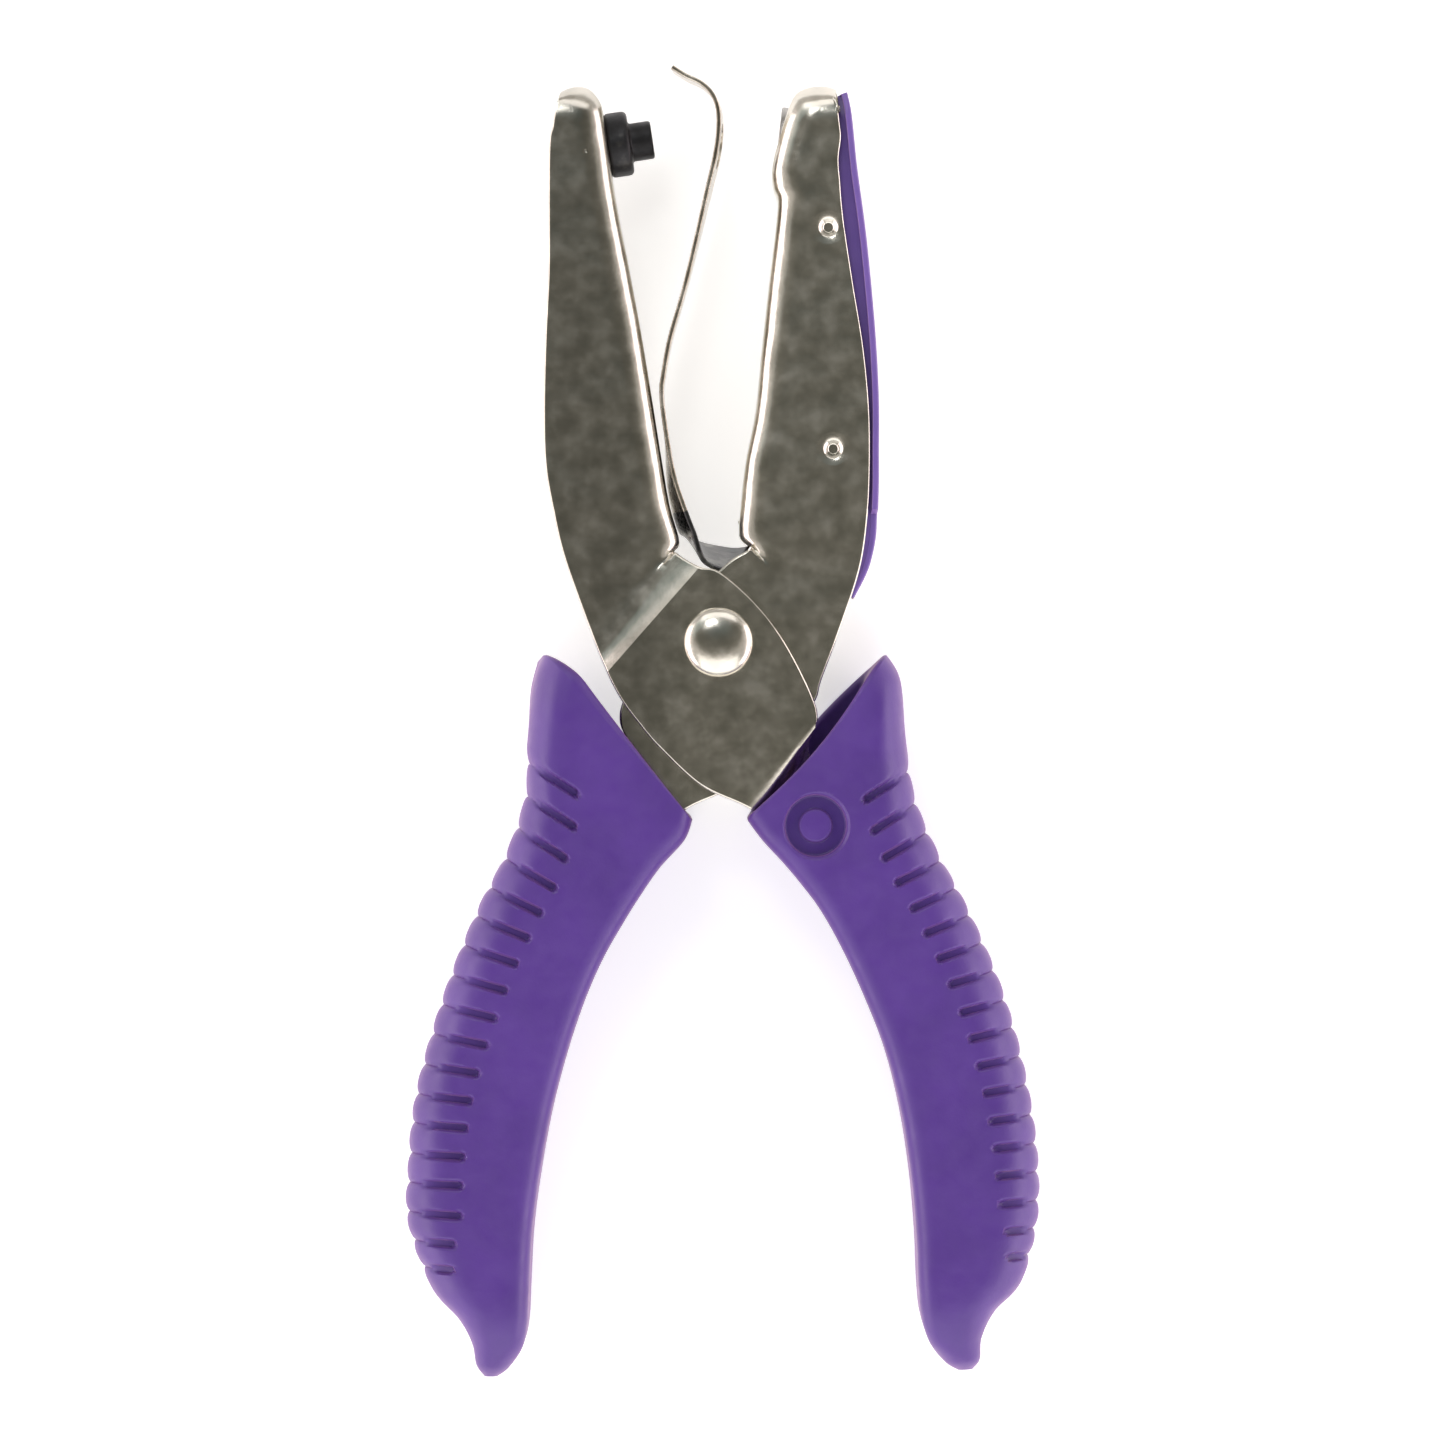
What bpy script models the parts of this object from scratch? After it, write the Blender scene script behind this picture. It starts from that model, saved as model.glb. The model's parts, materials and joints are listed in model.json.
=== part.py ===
"""Single-hole hand punch, plier type, lying flat. Metres, +Z up.

Two pressed steel channel levers cross at one rivet whose axis is +Z. The jaws point to +Y and the
handles to -Y. The punch lever's plates lie outside the die lever's plates at the pivot. Outlines are
given in millimetres from the pivot, and every solid is placed from the pivot's point.
"""

import math

import bmesh
import bpy
from mathutils import Matrix, Vector

MM = 0.001

# Frame: the pivot's place in the row, and the mid-plane's height above the surface.
PIVOT_Y = 10.4
MID_Z = 9.5
PIVOT = Vector((0.0, PIVOT_Y, MID_Z)) * MM

GAP = 0.3

# Levers: pressed channels. Half widths are to the outer faces.
SHEET = 1.2
HALF_IN = 6.0
HALF_OUT = HALF_IN + GAP + SHEET
PLATE_STEPS = 2
WEB_STEPS = 2
LEVER_SPACING = 5.0

# The bend between plate and web: its reach along the plate, and across it.
BEND_IN = 3.0
BEND_DROP = 2.2
BEND_STEPS = 3

# The jaws' tips get narrower from one height to the other, down to this share.
NOSE_FROM = 65.9
NOSE_TO = 69.9
NOSE_DROP = 0.4

# Rivet and bush at the pivot.
RIVET_R = 2.5
RIVET_HOLE_R = RIVET_R + GAP
HEAD_R = 4.3
HEAD_H = 1.9
TAIL_R = 3.7
TAIL_H = 1.0
BUSH_R = 4.0

# Punch: axis through the web of the punch lever, and its closing angle about the pivot.
PUNCH_SEAT = (-13.9, 62.2)
PUNCH_TILT = math.radians(8.4)
CLOSE_ANGLE = math.radians(14.8)
SHANK_R = 1.5
SHANK_HOLE_R = SHANK_R + GAP
SHANK_HEAD_R = 2.8
COLLAR_R = 4.05
COLLAR_L = 2.9
PIN_R = 2.4
PIN_END = 5.7

# Die button: its face stands this far along the punch axis from the punch's seat at closing.
DIE_FACE = 5.1
DIE_R = 4.0
DIE_HOLE_R = PIN_R + 0.15
DIE_L = 2.4

# Dimples that hold the chip catcher, and the catcher's section.
DIMPLES = ((13.7, 51.7), (14.3, 24.1))
DIMPLE_R = 1.4
DIMPLE_H = 0.8
NOTCH_R = 1.8
CATCHER_PLATE = 0.8
CATCHER_HALF = 6.0
CATCHER_WALL_HALF = HALF_IN - SHEET - GAP
CATCHER_WALL = 1.0
CATCHER_HINGE = (15.6, 68.3)

# Spring strip.
STRIP_T = 0.6
STRIP_HALF = 4.3
STRIP_HOLE_R = 2.9
STRIP_HOLE = (-0.1, 62.2)
KINK = (-6.9, 32.2)

# Grips.
GRIP_HALF = 9.5

# Outline stations. Each is (open edge point, web edge point, half width, has a web).
PUNCH_JAW = (
    ((-20.4, 66.2), (-19.9, 68.7), HALF_IN, True),
    ((-20.45, 65.9), (-18.2, 69.4), HALF_IN, True),
    ((-20.5, 65.5), (-16.3, 69.2), HALF_IN, True),
    ((-20.6, 65.0), (-14.9, 67.7), HALF_IN, True),
    ((-20.7, 64.2), (-14.4, 66.2), HALF_IN, True),
    ((-21.1, 62.2), (-13.9, 62.8), HALF_IN, True),
    ((-21.2, 55.3), (-12.8, 55.3), HALF_IN, True),
    ((-21.2, 46.6), (-11.1, 46.6), HALF_IN, True),
    ((-21.6, 37.8), (-9.6, 38.4), HALF_IN, True),
    ((-21.8, 29.1), (-8.1, 29.1), HALF_IN, True),
    ((-21.6, 22.2), (-7.1, 22.8), HALF_IN, True),
    ((-20.6, 16.3), (-6.2, 17.4), HALF_IN, True),
    ((-19.1, 10.1), (-4.9, 12.7), HALF_IN, True),
    ((-15.3, -0.4), (-5.4, 11.3), HALF_IN, False),
    ((-13.9, -3.8), (-2.3, 9.4), HALF_OUT, False),
)
DIE_JAW = (
    ((14.9, 66.2), (14.8, 69.0), HALF_IN, True),
    ((15.0, 65.9), (13.3, 69.5), HALF_IN, True),
    ((15.05, 65.5), (11.2, 69.3), HALF_IN, True),
    ((15.1, 65.0), (9.6, 68.4), HALF_IN, True),
    ((15.2, 64.2), (8.6, 66.3), HALF_IN, True),
    ((15.3, 62.8), (7.45, 62.6), HALF_IN, True),
    ((15.0, 60.1), (6.7, 59.1), HALF_IN, True),
    ((15.2, 57.4), (6.9, 56.6), HALF_IN, True),
    ((15.4, 54.7), (7.4, 55.1), HALF_IN, True),
    ((15.8, 51.3), (7.1, 51.3), HALF_IN, True),
    ((16.8, 44.7), (6.3, 44.7), HALF_IN, True),
    ((18.1, 36.6), (5.4, 36.6), HALF_IN, True),
    ((18.8, 29.1), (4.6, 28.8), HALF_IN, True),
    ((18.9, 22.2), (3.4, 22.6), HALF_IN, True),
    ((18.6, 15.9), (2.8, 17.4), HALF_IN, True),
    ((17.6, 9.1), (2.6, 13.4), HALF_IN, True),
    ((14.9, 0.9), (3.9, 11.8), HALF_IN, False),
    ((12.8, -4.8), (1.8, 10.4), HALF_IN, False),
)
# The crossing and the handle of the punch lever; the die lever has their mirror image.
CROSSING = (
    ((-12.1, -7.2), (0.2, 8.7)),
    ((-9.8, -10.3), (4.6, 4.8)),
    ((-7.3, -13.2), (8.3, -0.1)),
    ((-2.3, -17.8), (11.7, -6.8)),
    ((3.4, -20.5), (12.3, -9.9)),
)
HANDLE = (
    ((6.9, -22.9), (11.3, -13.2), False),
    ((9.6, -25.8), (12.9, -17.8), True),
    ((13.8, -31.9), (18.6, -25.9), True),
    ((17.2, -38.2), (23.4, -34.8), True),
    ((20.1, -45.3), (27.2, -42.7), True),
    ((22.9, -53.4), (30.4, -51.6), True),
    ((24.6, -60.9), (32.3, -59.9), True),
    ((25.6, -68.4), (33.0, -68.2), True),
    ((26.1, -75.3), (31.9, -75.9), True),
)

# Chip catcher: (open edge of its side walls, outer face) from the tip down to the finger tab.
CATCHER = (
    ((13.4, 65.2), (15.9, 68.6)),
    ((12.9, 64.0), (16.8, 64.1)),
    ((12.8, 59.1), (17.3, 59.1)),
    ((12.9, 51.7), (18.3, 51.7)),
    ((12.9, 44.0), (19.1, 44.0)),
    ((13.3, 36.6), (19.7, 36.6)),
    ((13.5, 30.0), (20.0, 30.0)),
    ((13.5, 24.1), (20.0, 24.1)),
    ((13.7, 20.0), (20.0, 20.0)),
    ((14.0, 16.2), (19.9, 16.6)),
    ((14.2, 16.0), (19.8, 16.0)),
    ((14.6, 12.6), (19.6, 12.8)),
    ((15.2, 9.2), (18.7, 9.1)),
    ((15.3, 6.6), (16.9, 5.5)),
)
CATCHER_WIDE_TO = 16.3
# An end of the catcher as faces between the points of its section: two walls, then the plate.
CATCHER_CAP = (
    (3, 4, 5, 6),
    (7, 8, 9, 10),
    (0, 1, 2, 3),
    (0, 3, 6),
    (0, 6, 7, 13),
    (13, 7, 10),
    (13, 10, 11, 12),
)

# Grips: (inner edge, outer edge, half thickness) from the mouth to the tail.
RIGHT_GRIP = (
    ((3.4, -21.9), (20.7, -1.2), 8.9),
    ((5.4, -24.6), (22.7, -4.7), 9.3),
    ((7.8, -27.2), (23.4, -12.2), GRIP_HALF),
    ((10.1, -29.9), (24.6, -19.3), GRIP_HALF),
    ((12.7, -33.4), (27.3, -25.9), GRIP_HALF),
    ((15.6, -38.6), (30.7, -32.2), GRIP_HALF),
    ((18.4, -44.7), (34.2, -39.9), GRIP_HALF),
    ((20.9, -51.2), (36.8, -47.4), GRIP_HALF),
    ((22.7, -58.4), (38.8, -55.9), GRIP_HALF),
    ((23.9, -65.9), (40.1, -64.7), GRIP_HALF),
    ((24.6, -73.4), (39.8, -72.4), GRIP_HALF),
    ((24.9, -80.3), (37.8, -79.7), GRIP_HALF),
    ((25.3, -84.1), (34.4, -83.4), 9.2),
    ((26.3, -87.2), (32.8, -86.7), 8.2),
    ((28.2, -89.7), (32.6, -89.4), 6.4),
    ((29.9, -90.8), (31.7, -90.7), 4.4),
)
LEFT_GRIP = (
    ((-3.2, -21.9), (-22.2, -1.6), 8.9),
    ((-4.2, -24.6), (-23.4, -5.9), 9.3),
    ((-7.3, -28.1), (-23.9, -12.8), GRIP_HALF),
    ((-9.8, -31.7), (-24.2, -19.1), GRIP_HALF),
    ((-11.8, -34.9), (-26.4, -25.9), GRIP_HALF),
    ((-14.3, -39.3), (-29.7, -32.4), GRIP_HALF),
    ((-16.7, -44.7), (-32.9, -39.9), GRIP_HALF),
    ((-18.9, -51.2), (-35.6, -47.8), GRIP_HALF),
    ((-20.8, -58.4), (-37.9, -56.6), GRIP_HALF),
    ((-22.2, -65.9), (-39.1, -65.3), GRIP_HALF),
    ((-23.2, -73.4), (-39.1, -72.4), GRIP_HALF),
    ((-23.6, -80.9), (-35.9, -80.3), GRIP_HALF),
    ((-23.8, -84.9), (-32.3, -84.4), 9.2),
    ((-24.4, -87.8), (-30.7, -87.4), 8.2),
    ((-26.1, -90.4), (-30.2, -90.1), 6.4),
    ((-27.6, -91.6), (-29.2, -91.6), 4.4),
)
# The mouth of a grip's hollow, written for the right one. Below it the hollow fits the handle.
MOUTH_HOLLOW = (
    ((4.3, -21.2), (19.2, -3.4), 7.85),
    ((5.2, -22.4), (17.4, -7.9), 7.7),
    ((6.5, -23.5), (14.0, -13.0), 7.1),
)
HOLLOW_GAP = GAP + 0.1
MOUTH_SLANT = 1.6

# Strip: centre lines of the blade above the kink, and of the spring below it, which runs down the
# punch lever's web, turns at the throat's bottom and ends inside the die lever's channel.
BLADE = (
    (-7.0, 32.7),
    (-6.1, 37.8),
    (-4.3, 44.1),
    (-2.8, 50.3),
    (-1.4, 56.6),
    (-0.4, 60.9),
    (0.0, 64.1),
    (-0.1, 66.7),
    (-0.9, 68.6),
    (-2.3, 69.9),
    (-4.1, 70.75),
    (-5.8, 71.8),
)
PUNCH_LEG = ((-7.1, 31.8), (-7.0, 29.6), (-6.4, 25.3), (-5.5, 20.6), (-4.1, 16.4), (-2.9, 13.4))
SPRING_TURN = ((-1.6, 11.4), (0.4, 10.5), (2.6, 10.3), (4.8, 10.9))
DIE_LEG = ((6.2, 12.4), (6.8, 15.0))

STEEL = ("plated_steel", (0.62, 0.60, 0.56), 0.18, 1.0)
BLACK = ("black_oxide", (0.02, 0.02, 0.022), 0.45, 1.0)
SPRING_STEEL = ("spring_steel", (0.50, 0.47, 0.43), 0.25, 1.0)
TOOL_STEEL = ("tool_steel", (0.35, 0.35, 0.36), 0.30, 1.0)
PURPLE = ("purple_plastic", (0.12, 0.06, 0.34), 0.40, 0.0)


def clear_scene():
    for obj in list(bpy.data.objects):
        bpy.data.objects.remove(obj, do_unlink=True)


def make_material(spec):
    name, color, roughness, metallic = spec
    material = bpy.data.materials.get(name)
    if material is None:
        material = bpy.data.materials.new(name)
        material.use_nodes = True
        shader = material.node_tree.nodes["Principled BSDF"]
        shader.inputs["Base Color"].default_value = (*color, 1.0)
        shader.inputs["Roughness"].default_value = roughness
        shader.inputs["Metallic"].default_value = metallic
    return material


def add_object(name, bm, material, origin=(0.0, 0.0), recalc=True):
    """An object from a bmesh in millimetres from the pivot, whose origin is at the given point."""
    shift = Vector((origin[0], origin[1], 0.0))
    bmesh.ops.translate(bm, verts=bm.verts, vec=-shift)
    bmesh.ops.scale(bm, verts=bm.verts, vec=(MM, MM, MM))
    if recalc:
        bmesh.ops.recalc_face_normals(bm, faces=bm.faces)
    mesh = bpy.data.meshes.new(name)
    bm.to_mesh(mesh)
    bm.free()
    mesh.shade_smooth()
    mesh.set_sharp_from_angle(angle=math.radians(35))
    if material:
        mesh.materials.append(make_material(material))
    obj = bpy.data.objects.new(name, mesh)
    bpy.context.scene.collection.objects.link(obj)
    obj.location = PIVOT + shift * MM
    return obj


def add_cutter(name, bm):
    """A helper for a Boolean, left out of the renders."""
    obj = add_object(name, bm, None)
    obj.hide_render = True
    obj.display_type = "WIRE"
    return obj


def boolean(obj, cutter, operation="DIFFERENCE"):
    modifier = obj.modifiers.new(cutter.name, "BOOLEAN")
    modifier.operation = operation
    modifier.solver = "EXACT"
    modifier.object = cutter


def catmull_rom(p0, p1, p2, p3, t):
    return 0.5 * (
        2 * p1 + (p2 - p0) * t + (2 * p0 - 5 * p1 + 4 * p2 - p3) * t**2 + (3 * p1 - p0 - 3 * p2 + p3) * t**3
    )


def smooth_rows(rows, spacing):
    """Rows of 2-D points joined by smooth curves: yields (row, station index, fraction)."""
    points = [[Vector(point) for point in row] for row in rows]
    last = len(points) - 1
    result = []
    for i in range(last):
        before = points[max(i - 1, 0)]
        after = points[min(i + 2, last)]
        reach = max((b - a).length for a, b in zip(points[i], points[i + 1]))
        steps = max(1, math.ceil(reach / spacing))
        for step in range(steps):
            t = step / steps
            row = [
                catmull_rom(before[k], points[i][k], points[i + 1][k], after[k], t)
                for k in range(len(points[i]))
            ]
            result.append((row, i, t))
    result.append((points[last], last - 1, 1.0))
    return result


def ease(t):
    return t * t * (3 - 2 * t)


def nose(y):
    """The share of its width that a channel keeps at this height."""
    u = min(max((y - NOSE_FROM) / (NOSE_TO - NOSE_FROM), 0.0), 1.0)
    return 1 - NOSE_DROP * (1 - math.sqrt(1 - u * u))


def channel_section(edge, web, half, bent):
    """The outer surface of a channel from its front open edge round the web to its rear open edge."""
    across = web - edge
    inset = min(BEND_IN, 0.6 * across.length)
    tangent = web - across.normalized() * inset
    front = [(edge.lerp(tangent, i / PLATE_STEPS), half) for i in range(PLATE_STEPS + 1)]
    for i in range(1, BEND_STEPS + 1):
        turn = math.pi / 2 * i / BEND_STEPS
        drop = BEND_DROP * (1 - math.cos(turn)) if bent else 0.0
        along = math.sin(turn) if bent else i / BEND_STEPS
        front.append((tangent.lerp(web, along), half - drop))
    last = front[-1][1]
    middle = [(web, last - 2 * last * i / WEB_STEPS) for i in range(1, WEB_STEPS)]
    rear = [(point, -z) for point, z in reversed(front)]
    return [Vector((point.x, point.y, z * nose(point.y))) for point, z in front + middle + rear]


def has_web(stations, i, t):
    """Whether the web is there at a fraction of the way from station i to the next."""
    here = stations[i][3]
    there = stations[i + 1][3]
    if t == 0.0:
        return here
    if t == 1.0:
        return there
    return here and there


def channel_bmesh(stations, flip):
    """An open sheet surface for a lever: two side plates, and a web where the stations have one."""
    bm = bmesh.new()
    rows = []
    for (edge, web), i, t in smooth_rows([station[:2] for station in stations], LEVER_SPACING):
        half = stations[i][2] + (stations[i + 1][2] - stations[i][2]) * ease(t)
        bent = has_web(stations, i, t)
        rows.append(([bm.verts.new(v) for v in channel_section(edge, web, half, bent)], bent))
    side = PLATE_STEPS + BEND_STEPS
    for (row_a, bent_a), (row_b, bent_b) in zip(rows, rows[1:]):
        for j in range(len(row_a) - 1):
            in_web = side <= j < side + WEB_STEPS
            if in_web and not (bent_a and bent_b):
                continue
            quad = (row_a[j], row_b[j], row_b[j + 1], row_a[j + 1])
            bm.faces.new(tuple(reversed(quad)) if flip else quad)
    return bm


def mirrored(rows):
    """The same rows on the other side: the first coordinate of each row's two points changes sign."""
    return [((-a[0], a[1]), (-b[0], b[1]), *rest) for a, b, *rest in rows]


def turned_bmesh(profile, segments=24, closed=False):
    """A turned solid about local Z from (radius, height) points; radius 0 makes a pole."""
    bm = bmesh.new()
    rings = []
    for radius, height in profile:
        if radius == 0.0:
            rings.append([bm.verts.new((0.0, 0.0, height))])
            continue
        turn = [2 * math.pi * i / segments for i in range(segments)]
        rings.append([bm.verts.new((radius * math.cos(a), radius * math.sin(a), height)) for a in turn])
    pairs = list(zip(rings, rings[1:]))
    if closed:
        pairs.append((rings[-1], rings[0]))
    for lower, upper in pairs:
        for i in range(segments):
            j = (i + 1) % segments
            below = [lower[i % len(lower)], lower[j % len(lower)]]
            above = [upper[j % len(upper)], upper[i % len(upper)]]
            corners = below + above
            bm.faces.new(list(dict.fromkeys(corners)))
    return bm


def aim(bm, point, angle):
    """Turns local Z to a direction in the XY plane and moves local zero to the point."""
    turn = Matrix.Rotation(angle, 4, "Z") @ Matrix.Rotation(math.pi / 2, 4, "Y")
    bmesh.ops.transform(bm, matrix=Matrix.Translation((point[0], point[1], 0.0)) @ turn, verts=bm.verts)
    return bm


def cylinder_bmesh(radius, low, high, center=(0.0, 0.0), segments=24):
    bm = turned_bmesh(((0.0, low), (radius, low), (radius, high), (0.0, high)), segments)
    bmesh.ops.translate(bm, verts=bm.verts, vec=(center[0], center[1], 0.0))
    bmesh.ops.recalc_face_normals(bm, faces=bm.faces)
    return bm


def make_lever(name, stations, flip):
    obj = add_object(name, channel_bmesh(stations, flip), STEEL, recalc=False)
    solid = obj.modifiers.new("Sheet", "SOLIDIFY")
    solid.thickness = SHEET * MM
    solid.offset = -1.0
    solid.use_even_offset = True
    boolean(obj, add_cutter(name + "_rivet_hole", cylinder_bmesh(RIVET_HOLE_R, -12.0, 12.0)))
    return obj


def make_punch_lever():
    crossing = [(*row, HALF_OUT, False) for row in CROSSING]
    handle = [(edge, web, HALF_IN, bent) for edge, web, bent in HANDLE]
    lever = make_lever("punch_lever", list(PUNCH_JAW) + crossing + handle, flip=False)
    hole = aim(cylinder_bmesh(SHANK_HOLE_R, -3.0, 1.5), PUNCH_SEAT, PUNCH_TILT)
    boolean(lever, add_cutter("punch_lever_shank_hole", hole))


def dimple_bmesh(side):
    """The raised inner cap of each dimple on one side plate, joined to the plate."""
    bm = bmesh.new()
    face = HALF_IN - SHEET
    shoulder = (0.75 * DIMPLE_R, face - 0.7 * DIMPLE_H)
    top = (0.0, face - DIMPLE_H)
    profile = ((0.0, face + 0.5), (DIMPLE_R, face + 0.5), (DIMPLE_R, face), shoulder, top)
    for x, y in DIMPLES:
        cap = turned_bmesh(profile, 12)
        bmesh.ops.scale(cap, verts=cap.verts, vec=(1.0, 1.0, side))
        bmesh.ops.translate(cap, verts=cap.verts, vec=(x, y, 0.0))
        bmesh.ops.recalc_face_normals(cap, faces=cap.faces)
        mesh = bpy.data.meshes.new("cap")
        cap.to_mesh(mesh)
        cap.free()
        bm.from_mesh(mesh)
    return bm


def punch_frame_at_closing(distance):
    """The point at a distance along the punch axis from its seat, when the levers are closed."""
    x = PUNCH_SEAT[0] + distance * math.cos(PUNCH_TILT)
    y = PUNCH_SEAT[1] + distance * math.sin(PUNCH_TILT)
    c = math.cos(CLOSE_ANGLE)
    s = math.sin(CLOSE_ANGLE)
    return (c * x + s * y, -s * x + c * y)


def make_die_lever():
    crossing = [(*row, HALF_IN, False) for row in mirrored(CROSSING)]
    handle = [(edge, web, HALF_IN, bent) for edge, web, bent in mirrored(HANDLE)]
    lever = make_lever("die_lever", list(DIE_JAW) + crossing + handle, flip=True)
    for side in (1, -1):
        boolean(lever, add_cutter(f"die_lever_dimples_{side + 2}", dimple_bmesh(side)), "UNION")
    seat = punch_frame_at_closing(DIE_FACE)
    hole = aim(cylinder_bmesh(DIE_R + GAP, -3.0, 4.5), seat, PUNCH_TILT - CLOSE_ANGLE)
    boolean(lever, add_cutter("die_lever_button_hole", hole))


def make_die_button():
    profile = ((DIE_R - 0.2, 0.0), (DIE_R, 0.2), (DIE_R, DIE_L), (DIE_HOLE_R + 0.3, DIE_L), (DIE_HOLE_R, 0.0))
    bm = turned_bmesh(profile, closed=True)
    add_object("die_button", aim(bm, punch_frame_at_closing(DIE_FACE), PUNCH_TILT - CLOSE_ANGLE), TOOL_STEEL)


def make_punch():
    inner = -(SHEET + GAP)
    profile = (
        (0.0, inner - 0.8),
        (SHANK_HEAD_R, inner - 0.8),
        (SHANK_HEAD_R, inner),
        (SHANK_R, inner),
        (SHANK_R, GAP),
        (COLLAR_R, GAP),
        (COLLAR_R, COLLAR_L - 0.25),
        (COLLAR_R - 0.25, COLLAR_L),
        (PIN_R, COLLAR_L),
        (PIN_R, PIN_END),
        (PIN_R - 0.45, PIN_END),
        (0.0, PIN_END - 0.7),
    )
    add_object("punch_pin", aim(turned_bmesh(profile), PUNCH_SEAT, PUNCH_TILT), BLACK)


def make_rivet():
    seat = HALF_OUT + 0.15
    profile = [(0.0, -seat - TAIL_H), (TAIL_R - 0.3, -seat - TAIL_H), (TAIL_R, -seat - 0.6 * TAIL_H)]
    profile += [(TAIL_R, -seat), (RIVET_R, -seat), (RIVET_R, seat)]
    dome = 6
    for i in range(dome + 1):
        turn = math.pi / 2 * i / dome
        profile.append((HEAD_R * math.cos(turn), seat + HEAD_H * math.sin(turn)))
    profile[-1] = (0.0, seat + HEAD_H)
    add_object("pivot_rivet", turned_bmesh(profile, 32), STEEL)


def make_bush():
    end = HALF_IN - SHEET - GAP
    profile = ((BUSH_R, -end), (BUSH_R, end), (RIVET_HOLE_R, end), (RIVET_HOLE_R, -end))
    add_object("pivot_bush", turned_bmesh(profile, closed=True), TOOL_STEEL)


def strip_bmesh(centres):
    """A flat strip on edge: its centre line lies in the XY plane and its width along Z."""
    bm = bmesh.new()
    rings = []
    last = len(centres) - 1
    for i, point in enumerate(centres):
        along = (centres[min(i + 1, last)] - centres[max(i - 1, 0)]).normalized()
        side = Vector((-along.y, along.x)) * STRIP_T / 2
        corners = [(point + side, 1), (point - side, 1), (point - side, -1), (point + side, -1)]
        rings.append([bm.verts.new((p.x, p.y, k * STRIP_HALF)) for p, k in corners])
    for a, b in zip(rings, rings[1:]):
        for j in range(4):
            bm.faces.new((a[j], b[j], b[(j + 1) % 4], a[(j + 1) % 4]))
    bm.faces.new(rings[0])
    bm.faces.new(list(reversed(rings[-1])))
    return bm


def smooth_line(points, spacing):
    return [row[0] for row, _, _ in smooth_rows([(point,) for point in points], spacing)]


def make_stripper():
    bm = strip_bmesh(smooth_line(BLADE, 3.0))
    blade = add_object("stripper_blade", bm, SPRING_STEEL, origin=KINK)
    hole = cylinder_bmesh(STRIP_HOLE_R, -3.0, 3.0)
    boolean(blade, add_cutter("stripper_hole", aim(hole, STRIP_HOLE, math.radians(-8.0))))


def make_return_spring():
    line = smooth_line(PUNCH_LEG + SPRING_TURN + DIE_LEG, 1.5)
    add_object("return_spring", strip_bmesh(line), SPRING_STEEL)


def catcher_section(edge, face, wide):
    """A tray: a plate at the outer face and two side walls that reach into the channel."""
    across = (face - edge).normalized()
    under = face - across * CATCHER_PLATE
    narrow = nose(face.y)
    wall = CATCHER_WALL_HALF * narrow
    plate = CATCHER_HALF * narrow if wide else wall + 0.05
    inner = wall - CATCHER_WALL
    front = [(face - across * 0.25, plate), (under, plate), (under, wall)]
    front += [(edge, wall), (edge, inner), (under, inner)]
    crown = [(face, plate - 0.4)]
    ring = crown + front
    ring += [(point, -z) for point, z in reversed(ring)]
    return [Vector((point.x, point.y, z)) for point, z in ring]


def make_catcher():
    bm = bmesh.new()
    rings = []
    for (edge, face), _, _ in smooth_rows(CATCHER, 6.0):
        wide = face.y > CATCHER_WIDE_TO
        rings.append([bm.verts.new(v) for v in catcher_section(edge, face, wide)])
    count = len(rings[0])
    for a, b in zip(rings, rings[1:]):
        for j in range(count):
            bm.faces.new((a[j], b[j], b[(j + 1) % count], a[(j + 1) % count]))
    for ring in (rings[0], rings[-1]):
        for corners in CATCHER_CAP:
            bm.faces.new([ring[k] for k in corners])
    catcher = add_object("chip_catcher", bm, PURPLE, origin=CATCHER_HINGE)
    for i, (x, y) in enumerate(DIMPLES):
        notch = cylinder_bmesh(NOTCH_R, -CATCHER_WALL_HALF - 1.0, CATCHER_WALL_HALF + 1.0, (x, y), 16)
        boolean(catcher, add_cutter(f"catcher_notch_{i}", notch))


def rounded_ring(inner, outer, half, inner_r, outer_r, slant=0.0, steps=3):
    """A rounded rectangle through the inner and outer edge points, as thick as twice half."""
    across = outer - inner
    length = across.length
    side = math.copysign(1.0, across.x)
    along = Vector((across.y, -across.x, 0.0)) * side / length
    inner_r = min(inner_r, 0.45 * length, 0.9 * half)
    outer_r = min(outer_r, 0.45 * length, 0.9 * half)
    corners = (
        (inner_r, half - inner_r, inner_r, math.pi, math.pi / 2),
        (length - outer_r, half - outer_r, outer_r, math.pi / 2, 0.0),
        (length - outer_r, outer_r - half, outer_r, 0.0, -math.pi / 2),
        (inner_r, inner_r - half, inner_r, -math.pi / 2, -math.pi),
    )
    unit = across.normalized()
    ring = []
    for u, z, radius, start, end in corners:
        for i in range(steps + 1):
            angle = start + (end - start) * i / steps
            height = z + radius * math.sin(angle)
            point = inner + unit * (u + radius * math.cos(angle))
            lean = slant * height / GRIP_HALF * (point - inner).length / length
            ring.append(Vector((point.x, point.y, height)) + along * lean)
    return ring


def loft(bm, rings):
    """Quads between neighbouring rings of the same count, and a cap on each end."""
    made = [[bm.verts.new(v) for v in ring] for ring in rings]
    count = len(made[0])
    for a, b in zip(made, made[1:]):
        for j in range(count):
            bm.faces.new((a[j], b[j], b[(j + 1) % count], a[(j + 1) % count]))
    for end in (made[0], made[-1]):
        middle = bm.verts.new(sum((v.co for v in end), Vector()) / count)
        for j in range(count):
            bm.faces.new((end[j], end[(j + 1) % count], middle))


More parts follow.
